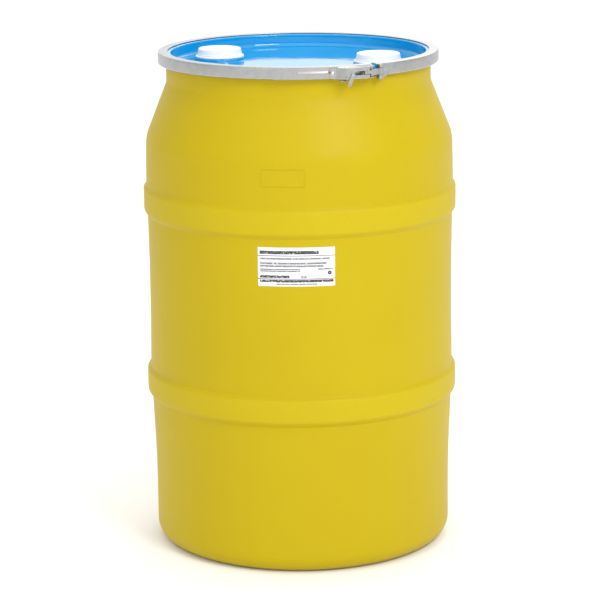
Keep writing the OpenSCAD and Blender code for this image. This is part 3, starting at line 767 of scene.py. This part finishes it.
def zinc_steel(name, tone_a, tone_b, rough_low, rough_high, rust_at=None):
    material, tree, place = start_material(name)
    crystals = add(tree, "TexVoronoi", {"Vector": place, "Scale": 1 / (SPANGLE * MM)})
    shade = add(tree, "SeparateColor", {"Color": crystals.outputs["Color"]})
    smear = add(tree, "TexNoise", {"Vector": place, "Scale": 120.0, "Detail": 4.0})
    blend = add(tree, "Math", {0: shade, 1: smear}, operation="MULTIPLY")
    tone = add(tree, "Mix", {0: blend, 6: linear(tone_a), 7: linear(tone_b)}, data_type="RGBA").outputs[2]
    rough = add(tree, "MapRange", {"Value": smear, "To Min": rough_low, "To Max": rough_high})
    metal = 1.0
    # Rust fades out RUST_REACH from its middle, and specks break it up
    if rust_at:
        gap = add(tree, "VectorMath", {0: place, 1: rust_at}, operation="DISTANCE")
        near = add(tree, "MapRange", {
            "Value": gap.outputs["Value"], "From Min": 0.0, "From Max": RUST_REACH * MM,
            "To Min": 0.9, "To Max": 0.0})
        speck = add(tree, "TexNoise", {"Vector": place, "Scale": 420.0, "Detail": 3.0})
        strength = add(tree, "Math", {0: near, 1: speck}, operation="MULTIPLY")
        rust = add(tree, "MapRange", {"Value": strength, "From Min": 0.16, "From Max": 0.34})
        tone = add(tree, "Mix", {0: rust, 6: tone, 7: linear("#A0623A")}, data_type="RGBA").outputs[2]
        metal = add(tree, "MapRange", {"Value": rust, "To Min": 1.0, "To Max": 0.1})
    relief = add(tree, "Bump", {"Height": smear, "Distance": 0.02 * MM})
    end_material(tree, add(tree, "BsdfPrincipled", {
        "Base Color": tone, "Metallic": metal, "Roughness": rough, "Normal": relief}))
    return material


galvanised = zinc_steel("galvanised_sheet", "#B4B5B3", "#A2A4A3", 0.28, 0.4)
pressed_zinc = zinc_steel(
    "galvanised_pressing", "#AEAFAD", "#9EA09F", 0.34, 0.46,
    rust_at=(rivet_place.x - 0.006, rivet_place.y - 0.001, rivet_place.z + 0.002))
bright_zinc = zinc_steel("bright_zinc_plated_pin", "#C6C7CA", "#B4B5B9", 0.2, 0.28)

# %% [markdown]
# ## The closing ring
# The ring is a strip of 2 mm steel, rolled into a channel that wraps the lid's rim and the drum's
# lip. Its section is spun all the way round but for the gap at the latch. As the latch opens, the
# band springs apart. Places on the ring are arc lengths from the pivot of the lever.

# %% Places on the ring
pivot = middle_of("fulcrum_pin")
PIN_R = math.hypot(pivot.x, pivot.y) / MM
PIVOT_DEG = math.degrees(math.atan2(pivot.x, -pivot.y))
LATCH_Z = pivot.z / MM
print("the lever's pivot is", round(PIVOT_DEG, 1), "degrees round the drum")


def degrees_at(along):
    """Degrees round the drum, from -Y towards +X, at an arc length in mm from the lever's pivot."""
    return PIVOT_DEG + math.degrees(along / PIN_R)


def arc_spin(bm, start, end, steps):
    """Spins a section in the XZ plane between two arc lengths, and closes its ends."""
    first, last = degrees_at(start), degrees_at(end)
    bmesh.ops.rotate(
        bm, cent=(0, 0, 0), matrix=Matrix.Rotation(math.radians(first - 90), 3, "Z"), verts=bm.verts)
    spin_wire(bm, steps, math.radians(last - first))
    open_edges = [e for e in bm.edges if e.is_boundary]
    bmesh.ops.holes_fill(bm, edges=open_edges, sides=0)

# %% Closing ring
BAND = 2
BAND_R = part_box("ring_band")[1].x / MM
BAND_LOW, BAND_TOP = heights("ring_band")
UPPER_FLANGE = 18
LOWER_FLANGE = 12.7
GAP_START = 5.6
GAP_END = 15.1
EDGE_R = 3
RING_STEPS = 220

ring_bm = bmesh.new()
wire(ring_bm, [
    (BAND_R - LOWER_FLANGE, BAND_LOW, 0.6),
    (BAND_R, BAND_LOW, EDGE_R),
    (BAND_R, BAND_TOP, EDGE_R),
    (BAND_R - UPPER_FLANGE, BAND_TOP, 0.8),
    (BAND_R - UPPER_FLANGE, BAND_TOP - BAND, 0.8),
    (BAND_R - BAND, BAND_TOP - BAND, EDGE_R - BAND),
    (BAND_R - BAND, BAND_LOW + BAND, EDGE_R - BAND),
    (BAND_R - LOWER_FLANGE, BAND_LOW + BAND, 0.6),
], closed=True)
ring_round = PIN_R * FULL_TURN
arc_spin(ring_bm, GAP_END, GAP_START + ring_round, RING_STEPS)
ring_piece = make_piece(ring_bm, "closing_ring", None, galvanised, ["ring_band"])
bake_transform(ring_piece)

# %% [markdown]
# ## The paper label
# A coated paper label sticks to the waist. Its print is only suggested: plain bars where lines of
# type would be, two rules and a ring. The bars follow the label's own UV map, so they stay level
# on the curved wall.

# %% Lines of print
LABEL_W = 141
LABEL_H = 72
# Each line of print: height of its middle, its thickness, its left and right ends, its darkness
PRINT_LINES = [
    (0.87, 0.085, 0.025, 0.79, 0.98),
    (0.71, 0.045, 0.03, 0.93, 0.75),
    (0.59, 0.05, 0.03, 0.89, 0.75),
    (0.52, 0.05, 0.03, 0.85, 0.75),
    (0.435, 0.032, 0.03, 0.55, 0.8),
    (0.39, 0.032, 0.03, 0.55, 0.8),
    (0.44, 0.04, 0.78, 0.97, 0.75),
    (0.25, 0.065, 0.025, 0.41, 0.98),
    (0.24, 0.05, 0.56, 0.63, 0.75),
    (0.135, 0.065, 0.025, 0.98, 0.98),
    (0.055, 0.04, 0.24, 0.77, 0.65),
]
RULES = [0.785, 0.19]
print("the label has", len(PRINT_LINES), "bars and", len(RULES), "rules")

# %% [markdown]
# ### Printed paper
# Two COMPARE nodes cut each bar out of the UV map, one by height and one by width. Noise that is
# stretched along the lines breaks the bars at random, as gaps between words do.

# %% Printed paper
def printed_paper():
    material, tree, place = start_material("coated_label_paper")
    uv = add(tree, "TexCoord").outputs["UV"]
    split = add(tree, "SeparateXYZ", {"Vector": uv})
    u, v = split.outputs["X"], split.outputs["Y"]
    ink = 0.0
    for middle, thickness, left, right, darkness in PRINT_LINES:
        level = add(tree, "Math", {0: v, 1: middle, 2: thickness / 2}, operation="COMPARE")
        across = add(tree, "Math", {
            0: u, 1: (left + right) / 2, 2: (right - left) / 2}, operation="COMPARE")
        patch = add(tree, "Math", {0: level, 1: across}, operation="MULTIPLY")
        line = add(tree, "Math", {0: patch, 1: darkness}, operation="MULTIPLY")
        ink = add(tree, "Math", {0: ink, 1: line}, operation="MAXIMUM")
    stretched = add(tree, "Mapping", {"Vector": uv, "Scale": (52, 23, 1)})
    blots = add(tree, "TexNoise", {"Vector": stretched, "Scale": 1.0, "Detail": 2.0})
    words = add(tree, "Math", {0: blots, 1: 0.38}, operation="GREATER_THAN")
    ink = add(tree, "Math", {0: ink, 1: words}, operation="MULTIPLY")
    for rule in RULES:
        level = add(tree, "Math", {0: v, 1: rule, 2: 0.011}, operation="COMPARE")
        line = add(tree, "Math", {0: level, 1: 0.75}, operation="MULTIPLY")
        ink = add(tree, "Math", {0: ink, 1: line}, operation="MAXIMUM")
    # The ring: a Mapping node puts its middle at the origin, in units of the label's height
    ring_at = add(tree, "Mapping", {
        "Vector": uv, "Location": (-0.93 * LABEL_W / LABEL_H, -0.34, 0), "Scale": (LABEL_W / LABEL_H, 1, 0)})
    from_ring = add(tree, "VectorMath", {0: ring_at}, operation="LENGTH")
    ring = add(tree, "Math", {0: from_ring.outputs["Value"], 1: 0.03, 2: 0.02}, operation="COMPARE")
    ink = add(tree, "Math", {0: ink, 1: ring}, operation="MAXIMUM")
    fibre = add(tree, "TexNoise", {"Vector": place, "Scale": 1500.0, "Detail": 3.0})
    relief = add(tree, "Bump", {"Height": fibre, "Distance": 0.01 * MM})
    tone = add(tree, "Mix", {
        0: ink, 6: linear("#E9E9EB"), 7: linear("#26262A")}, data_type="RGBA").outputs[2]
    end_material(tree, add(tree, "BsdfPrincipled", {
        "Base Color": tone, "Roughness": 0.55, "IOR": 1.5, "Normal": relief}))
    return material

# %% Label
LABEL_MID_DEG = -1.5
LABEL_LIFT = 0.12
LABEL_T = 0.16


def waist_r(z):
    """Radius of the upper half of the waist at a height in metres."""
    half = (HOOP_TOP_Z - HOOP_LOW_Z - HOOP_LEN) / 2
    return (BARREL_R - (BARREL_R - WAIST_R) * (HOOP_TOP_Z - z / MM) / half) * MM


def label_piece():
    """The label, with the UV map that its print follows."""
    low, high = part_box("label")
    bm = flat_sheet(LABEL_W, LABEL_H, (low.z + high.z) / 2 / MM, 3)
    layer = bm.loops.layers.uv.new("label")
    for face in bm.faces:
        for loop in face.loops:
            along, up = loop.vert.co.x / (LABEL_W * MM) + 0.5, (loop.vert.co.z - low.z) / (LABEL_H * MM)
            loop[layer].uv = (along, up)
    shift(bm, 0, -LABEL_LIFT, 0)
    shift(bm, 0, -LABEL_T, 0, extruded(bm))
    on_wall(bm, LABEL_MID_DEG, waist_r)
    rippled(bm)
    make_piece(bm, "paper_label", "drum", printed_paper(), ["label"])


label_piece()

# %% [markdown]
# ## The latch
# The lever, its channel and the brackets are pressed from sheet. A part that follows the drum is
# drawn flat, as its blank was cut, with its holes, and is then bent round. A small bevel takes the
# edges off, because a punched edge is never sharp. Only the link, drawn by its path, has none.

# %% Sizes of the latch
CHANNEL_H = 20
PLATE = 1.8
CHANNEL_T = 1.5
CHANNEL_END = -8.5
CHANNEL_START = CHANNEL_END - 71
CHANNEL_R = PIN_R + 10.5
RIVET_AT = CHANNEL_START + 5
HANDLE_IN_R = BAND_R + 0.6
FLANGE_IN_R = BAND_R + 3.4
PIVOT_PIN_R = 2.5
ANCHOR_PIN_R = 2.2
LINK_PIN_R = 2
ANCHOR_AT = 19.8
LINK_PIN_AT = Vector((-15, -6, 0))
STAND = Matrix.Rotation(math.pi / 2, 4, "X")
LAY = Matrix.Rotation(-math.pi / 2, 4, "X")
print("the channel runs from", CHANNEL_START, "to", CHANNEL_END, "mm from the pivot")

# %% Blanks and presses
def on_arc(along, radius, height):
    """Frame on the ring in mm: X runs along the ring, -Y points out of it."""
    turn = Matrix.Rotation(math.radians(degrees_at(along)), 4, "Z")
    return turn @ Matrix.Translation((0, -radius * MM, height * MM))


def blank(corners, holes=(), spacing=4, rows=()):
    """A flat blank in the XZ plane, with round holes (x, z, radius), cut into strips for bending."""
    bm = bmesh.new()
    wire(bm, corners, closed=True, longest=spacing)
    for x, z, radius in holes:
        bmesh.ops.create_circle(
            bm, cap_ends=False, segments=28, radius=radius * MM,
            matrix=Matrix.Translation((x * MM, 0, z * MM)) @ STAND)
    bmesh.ops.triangle_fill(
        bm, use_beauty=True, use_dissolve=False, edges=bm.edges[:], normal=(0, -1, 0))
    first, last = (f(v.co.x for v in bm.verts) for f in (min, max))
    strips = int((last - first) / (spacing * MM))
    cuts = [((first + (last - first) * i / strips, 0, 0), (1, 0, 0)) for i in range(1, strips)]
    cuts += [((0, 0, row * MM), (0, 0, 1)) for row in rows]
    for point, normal in cuts:
        geometry = bm.verts[:] + bm.edges[:] + bm.faces[:]
        bmesh.ops.bisect_plane(bm, geom=geometry, dist=1e-7, plane_co=point, plane_no=normal)
    return bm


def press(bm, place, thickness):
    """Bends a blank by place(x, z, depth), in mm, and gives it a thickness inwards."""
    outer = bm.verts[:]
    for verts, depth in ((outer, 0), (extruded(bm), thickness)):
        for vert in verts:
            vert.co = place(vert.co.x / MM, vert.co.z / MM, depth) * MM
    return bm


def ring_place(radius_at):
    """Bends a blank round the drum's axis, at a radius that may change along it."""
    def place(along, height, depth):
        turn = math.radians(degrees_at(along))
        radius = radius_at(along) - depth
        return Vector((radius * math.sin(turn), -radius * math.cos(turn), height))
    return place

# %% Plates, tubes and bevels
def flat_plate(corners, low, high, frame_matrix, holes=()):
    """A flat plate whose outline is in plan, from low to high, in a frame on the ring."""
    bm = blank(corners, holes, spacing=30)
    upper = extruded(bm)
    bmesh.ops.transform(bm, matrix=LAY, verts=bm.verts)
    shift(bm, 0, 0, high - low, upper)
    shift(bm, 0, 0, low)
    bmesh.ops.transform(bm, matrix=frame_matrix, verts=bm.verts)
    return bm


def turned_in(corners, frame_matrix, closed=False, steps=40):
    """A turned shape, moved into a frame."""
    bm = lathe(corners, steps, closed, longest=30)
    bmesh.ops.transform(bm, matrix=frame_matrix, verts=bm.verts)
    return bm


def joined(*parts):
    """One bmesh from several."""
    bm = bmesh.new()
    for part in parts:
        bmesh.ops.recalc_face_normals(part, faces=part.faces)
        merge_into(bm, part)
    return bm


def soften(piece, width):
    """Takes the sharp edges off a finished piece."""
    bevel = piece.modifiers.new("soft_edges", "BEVEL")
    bevel.width = width * MM
    bevel.segments = 2
    bevel.limit_method = "ANGLE"
    bevel.angle_limit = math.radians(50)
    bevel.use_clamp_overlap = True


def box_corners(x0, x1, z0, z1, rounding=0):
    return [(x0, z0, rounding), (x1, z0, rounding), (x1, z1, rounding), (x0, z1, rounding)]


def tube_corners(inner, outer, low, high):
    return [(inner, low, 0), (outer, low, 0.3), (outer, high, 0.3), (inner, high, 0)]

# %% [markdown]
# ### Brackets
# Each bracket is a strip welded to the ring, rolled into a knuckle round its pin. The welds leave
# two shallow dimples in the right one, and the left one has a small shelf that the lever shuts on.

# %% Left bracket
KNUCKLE_R = PIVOT_PIN_R + 1.7
PLATE_R = BAND_R + PLATE
half_knuckle = CHANNEL_H / 2 - CHANNEL_T - 0.3
shelf_low = heights("fulcrum_bracket")[0]
pivot_frame = on_arc(0, PIN_R, 0)


def plate_radius(along):
    return PLATE_R


left_strip = press(
    blank(box_corners(-62, -1, LATCH_Z - 7, LATCH_Z + 7, 1.5)), ring_place(plate_radius), PLATE)
shelf_upright = press(
    blank(box_corners(-61, -48, shelf_low, LATCH_Z, 1)), ring_place(plate_radius), PLATE)
shelf = flat_plate(
    box_corners(-6.5, 6.5, -7, 0.6, 1), shelf_low, shelf_low + CHANNEL_T, on_arc(-54.5, BAND_R, 0))
knuckle = turned_in(
    tube_corners(PIVOT_PIN_R, KNUCKLE_R, LATCH_Z - half_knuckle, LATCH_Z + half_knuckle), pivot_frame, True)
knuckle_foot = flat_plate(
    box_corners(-KNUCKLE_R, -KNUCKLE_R + PLATE, 0, PIN_R - BAND_R - 0.2), LATCH_Z - half_knuckle,
    LATCH_Z + half_knuckle, pivot_frame)
left_bracket = make_piece(
    joined(left_strip, shelf_upright, shelf, knuckle, knuckle_foot), "left_bracket", "ring",
    galvanised, ["fulcrum_bracket"])
soften(left_bracket, 0.25)

# %% Right bracket
anchor_low, anchor_high = heights("anchor_bracket")
anchor_end = GAP_END + 46
slant_start = ANCHOR_AT + KNUCKLE_R + 5
slant_end_z = anchor_low + (anchor_end - slant_start) * math.tan(math.radians(32))
DIMPLES = (ANCHOR_AT + 12.5, ANCHOR_AT + 28)
DIMPLE_DEPTH = 0.6


def dimpled_place(along, height, depth):
    """Round the ring, with two shallow weld dimples pressed in."""
    pressed = 0
    for dimple in DIMPLES:
        away = math.hypot(along - dimple, height - LATCH_Z)
        pressed += DIMPLE_DEPTH * (1 - fade(away, 0.6, 2.6))
    return ring_place(plate_radius)(
        along, height, min(PLATE - 0.1, depth + (pressed if not depth else 0)))


dimple_rows = [LATCH_Z + step * 0.8 for step in range(-4, 5)]
right_strip = press(
    blank([
        (GAP_END, anchor_low, 1), (slant_start, anchor_low, 4), (anchor_end, slant_end_z, 1),
        (anchor_end, anchor_high, 2), (GAP_END, anchor_high, 1)], spacing=0.8, rows=dimple_rows),
    dimpled_place, PLATE)
anchor_frame = on_arc(ANCHOR_AT, PIN_R, 0)
right_parts = [right_strip]
for low, high in ((LATCH_Z + 6.5, anchor_high), (anchor_low, LATCH_Z - 6.5)):
    right_parts.append(turned_in(
        tube_corners(ANCHOR_PIN_R, KNUCKLE_R, low, high), anchor_frame, True))
    foot = box_corners(KNUCKLE_R - PLATE, KNUCKLE_R, 0, PIN_R - BAND_R - 0.2)
    right_parts.append(flat_plate(foot, low, high, anchor_frame))
right_bracket = make_piece(
    joined(*right_parts), "right_bracket", "ring_end", galvanised, ["anchor_bracket"])
soften(right_bracket, 0.25)

# %% [markdown]
# ### Handle
# The handle's blank has one rounded end and a pressed rib that stiffens it. It is bent a little
# flatter than the ring, so its free end stands clear for a finger.

# %% Handle
HANDLE_LEN = 110
HANDLE_TAIL = 11
HANDLE_BEND = 311
handle_low, handle_high = heights("handle_plate")
HANDLE_MID_Z = (handle_low + handle_high) / 2
RIB_START = -64.5
RIB_END = -6.5
RIB_HALF = 3
RIB_RISE = 1.3


def handle_place(along, height, depth):
    """Bends the handle about its own, larger, radius, and presses its rib."""
    past_rib = max(0, RIB_START + RIB_HALF - along, along - RIB_END + RIB_HALF)
    away = math.hypot(past_rib, height)
    rise = RIB_RISE * (1 - fade(away, 0.5, RIB_HALF + 0.4))
    turn = along / HANDLE_BEND
    radius = HANDLE_BEND + PLATE - depth + (rise if not depth else 0)
    local = Vector((radius * math.sin(turn), HANDLE_BEND - radius * math.cos(turn), height))
    return (on_arc(RIVET_AT, HANDLE_IN_R, HANDLE_MID_Z) @ (local * MM)) / MM


rib_rows = [step * 0.7 for step in range(-5, 6)]
half_h = (handle_high - handle_low) / 2
handle_bm = press(
    blank([
        (-HANDLE_LEN, -half_h, 6), (HANDLE_TAIL, -half_h, 1),
        (HANDLE_TAIL, half_h, 1), (-HANDLE_LEN, half_h, 6),
    ], spacing=1.2, rows=rib_rows), handle_place, PLATE)
handle = make_piece(handle_bm, "lever_handle", "lever", pressed_zinc, ["handle_plate"])
soften(handle, 0.3)

# %% [markdown]
# ### Channel
# The lever's body is a channel, open towards the ring. Its web starts flat on the handle at the
# rivet, rises over a ramp, and has a slot for the link. Its two flanges end in ears for the pivot.

# %% Web of the channel
SLOT_START = CHANNEL_END - 28.7
SLOT_HALF = 3.5
TAB_AT = RIVET_AT + 33
TAB_Z = LATCH_Z - 2.5
EAR_R = PIVOT_PIN_R + 2.1


def channel_out(along):
    """Outer radius of the channel's web: low at the rivet, then up a ramp."""
    low = HANDLE_IN_R + PLATE + CHANNEL_T + 0.1
    return low + (CHANNEL_R - low) * min(1, max(0, (along - RIVET_AT - 6) / 16))


def arc_point(along, radius):
    """Point in plan on the ring, in mm."""
    turn = math.radians(degrees_at(along))
    return (radius * math.sin(turn), -radius * math.cos(turn), 0)


half_channel = CHANNEL_H / 2
web_low, web_high = LATCH_Z - half_channel, LATCH_Z + half_channel
web = press(
    blank([
        (CHANNEL_START, web_low + 1, 3), (RIVET_AT + 5, web_low, 3), (CHANNEL_END, web_low, 0.5),
        (CHANNEL_END, LATCH_Z - SLOT_HALF, 0.5), (SLOT_START, LATCH_Z - SLOT_HALF, SLOT_HALF - 0.05),
        (SLOT_START, LATCH_Z + SLOT_HALF, SLOT_HALF - 0.05), (CHANNEL_END, LATCH_Z + SLOT_HALF, 0.5),
        (CHANNEL_END, web_high, 0.5), (RIVET_AT + 5, web_high, 3), (CHANNEL_START, web_high - 1, 3),
    ], spacing=2, holes=[
        (TAB_AT - 11, LATCH_Z - 6.2, 1.3), (TAB_AT + 5, LATCH_Z - 6.2, 1.1)]),
    ring_place(channel_out), CHANNEL_T)
print("the web has", len(web.faces), "faces")

# %% Flanges of the channel
flange_outer = [CHANNEL_END - 4 - step * 3 for step in range(21)]
pivot_plan, link_plan = (arc_point(0, PIN_R), (pivot_frame @ (LINK_PIN_AT * MM)) / MM)
flange_corners = [
    (*arc_point(CHANNEL_END - 4, FLANGE_IN_R)[:2], 1),
    (*arc_point(-EAR_R, PIN_R - EAR_R + 0.2)[:2], 0),
    (*arc_point(EAR_R, PIN_R - EAR_R)[:2], EAR_R * 0.95),
    (*arc_point(EAR_R, PIN_R + EAR_R)[:2], EAR_R * 0.95),
    (*arc_point(CHANNEL_END - 1, CHANNEL_R - 0.5)[:2], 1),
    *[(*arc_point(along, channel_out(along) - 0.2)[:2], 0) for along in flange_outer],
    *[(*arc_point(along, FLANGE_IN_R)[:2], 0) for along in (flange_outer[-1], -50, -32)],
]
ear_holes = [(pivot_plan[0], pivot_plan[1], PIVOT_PIN_R + 0.05), (link_plan.x, link_plan.y, LINK_PIN_R)]
flanges = [
    flat_plate(flange_corners, low, low + CHANNEL_T, Matrix.Identity(4), ear_holes)
    for low in (web_low, web_high - CHANNEL_T)]
channel = make_piece(
    joined(web, *flanges), "lever_body", "lever", pressed_zinc, ["lever_channel"])
soften(channel, 0.35)

# %% [markdown]
# ### Link
# The link is a strip bent into a hook that pulls on the anchor pin, with an eye round its own pin.

# %% Link
LINK_OUT = 7.6
HOOK_R = ANCHOR_PIN_R + 1.8 + PLATE / 2
anchor_turn = math.radians(degrees_at(ANCHOR_AT) - PIVOT_DEG)
anchor_local = Vector((PIN_R * math.sin(anchor_turn), PIN_R * (1 - math.cos(anchor_turn)), 0))


def strip(path, height, arc=None):
    """A bent strip: a path in plan with roundings, then an arc (centre, degrees), made a sheet."""
    bm = bmesh.new()
    wire(bm, path, longest=2)
    bmesh.ops.transform(bm, matrix=LAY, verts=bm.verts)
    if arc:
        end = min(bm.verts, key=lambda v: (v.co / MM - Vector((path[-1][0], path[-1][1], 0))).length)
        bmesh.ops.spin(
            bm, geom=[end], cent=arc[0] * MM, axis=(0, 0, 1), angle=math.radians(arc[1]),
            space=Matrix.Identity(4), steps=12, use_merge=False)
        bmesh.ops.remove_doubles(bm, verts=bm.verts, dist=DOUBLE)
    made = bmesh.ops.extrude_edge_only(bm, edges=bm.edges[:])
    upper = [v for v in made["geom"] if isinstance(v, bmesh.types.BMVert)]
    shift(bm, 0, 0, height, upper)
    shift(bm, 0, 0, -height / 2)
    bmesh.ops.recalc_face_normals(bm, faces=bm.faces)
    shift(bm, 0, 0, LATCH_Z)
    bmesh.ops.transform(bm, matrix=pivot_frame, verts=bm.verts)
    bmesh.ops.solidify(bm, geom=bm.faces[:], thickness=PLATE / 2 * MM)
    return bm


hook_turn = math.radians(250)
hook_start = anchor_local + HOOK_R * Vector((math.cos(hook_turn), math.sin(hook_turn), 0))
bend_at = (ANCHOR_AT - 11.5, -LINK_OUT, 3)
wide = strip([(-3.5, -LINK_OUT, 0), bend_at, (hook_start.x, hook_start.y, 0)], 11, (anchor_local, 125))
neck = strip([(LINK_PIN_AT.x + 2.5, LINK_PIN_AT.y - 0.4, 0), (-3.0, -LINK_OUT, 0)], 6)
link_frame = pivot_frame @ Matrix.Translation(LINK_PIN_AT * MM)
eye_corners = tube_corners(LINK_PIN_R + 0.05, LINK_PIN_R + 1.4, LATCH_Z - 3, LATCH_Z + 3)
eye = turned_in(eye_corners, link_frame, True)
make_piece(joined(wide, neck, eye), "hook_link", "link", pressed_zinc, ["link"])

# %% [markdown]
# ### Pins and rivets
# Pins have upset heads, but for the anchor pin, which sits in its knuckles with plain ends. The
# handle's rivet has a low dome.

# %% Pins and rivets
def pin_piece(node, body, name):
    """An upright pin with rounded ends."""
    radius = radius_of(node)
    headed = node != "anchor_pin"
    shank = radius - 1.1 if headed else radius
    bottom, top = heights(node)
    head = 1.0 if headed else 0.4
    bm = bmesh.new()
    add_turned(bm, [
        (0, bottom, 0), (radius - 0.4, bottom, 0), (radius, bottom + 0.5 * head, 0.2),
        (radius, bottom + head, 0), (shank, bottom + head, 0), (shank, top - head, 0),
        (radius, top - head, 0), (radius, top - 0.5 * head, 0.2), (radius - 0.4, top, 0), (0, top, 0),
    ], middle_of(node), 32)
    make_piece(bm, name, body, bright_zinc, [node])


pin_piece("fulcrum_pin", "ring", "pivot_pin")
pin_piece("anchor_pin", "ring_end", "anchor_pin_bar")
pin_piece("link_pin", "lever", "link_pin_bar")
rivet_top = PLATE + CHANNEL_T + 0.1
rivet_bm = turned_in([
    (0, 0, 0), (LINK_PIN_R, 0, 0), (LINK_PIN_R, rivet_top, 0), (4, rivet_top, 0.2),
    (3.2, rivet_top + 0.9, 1.2), (1.2, rivet_top + 1.6, 0.6), (0, rivet_top + 1.6, 0)],
    on_arc(RIVET_AT, HANDLE_IN_R, LATCH_Z) @ STAND)
make_piece(rivet_bm, "domed_rivet", "lever", bright_zinc, ["handle_rivet"])

# %% [markdown]
# ### Seal tab
# A tab hangs from the channel by a small rivet. A wire seal goes through its hole.

# %% Seal tab
TAB_T = 1.5
TAB_W = 7.2
TAB_LEN = 18
TAB_TILT = math.radians(20)
half_tab = TAB_W / 2
tab_blank = blank(
    box_corners(-half_tab, half_tab, -TAB_LEN - half_tab, half_tab, half_tab - 0.05),
    holes=[(0, 0, 1.55), (0, -TAB_LEN, 1.3)])
tab_frame = on_arc(TAB_AT, CHANNEL_R + 0.3, TAB_Z) @ Matrix.Rotation(TAB_TILT, 4, "Y")


def tab_place(x, z, depth):
    """Stands the flat tab in its frame on the channel."""
    return (tab_frame @ (Vector((x, -TAB_T + depth, z)) * MM)) / MM


tab = make_piece(
    press(tab_blank, tab_place, TAB_T), "wire_seal_tab", "seal_tab", pressed_zinc,
    ["seal_tab"])
soften(tab, 0.25)
tab_head = CHANNEL_T + 0.3 + TAB_T + 0.3
tab_rivet_bm = turned_in([
    (0, 0, 0), (1.5, 0, 0), (1.5, tab_head, 0), (2.7, tab_head, 0.2), (2.0, tab_head + 1, 0.6),
    (0, tab_head + 1, 0)], on_arc(TAB_AT, CHANNEL_R - CHANNEL_T, TAB_Z) @ STAND, steps=32)
make_piece(tab_rivet_bm, "tab_rivet", "lever", bright_zinc, ["seal_tab_rivet"])
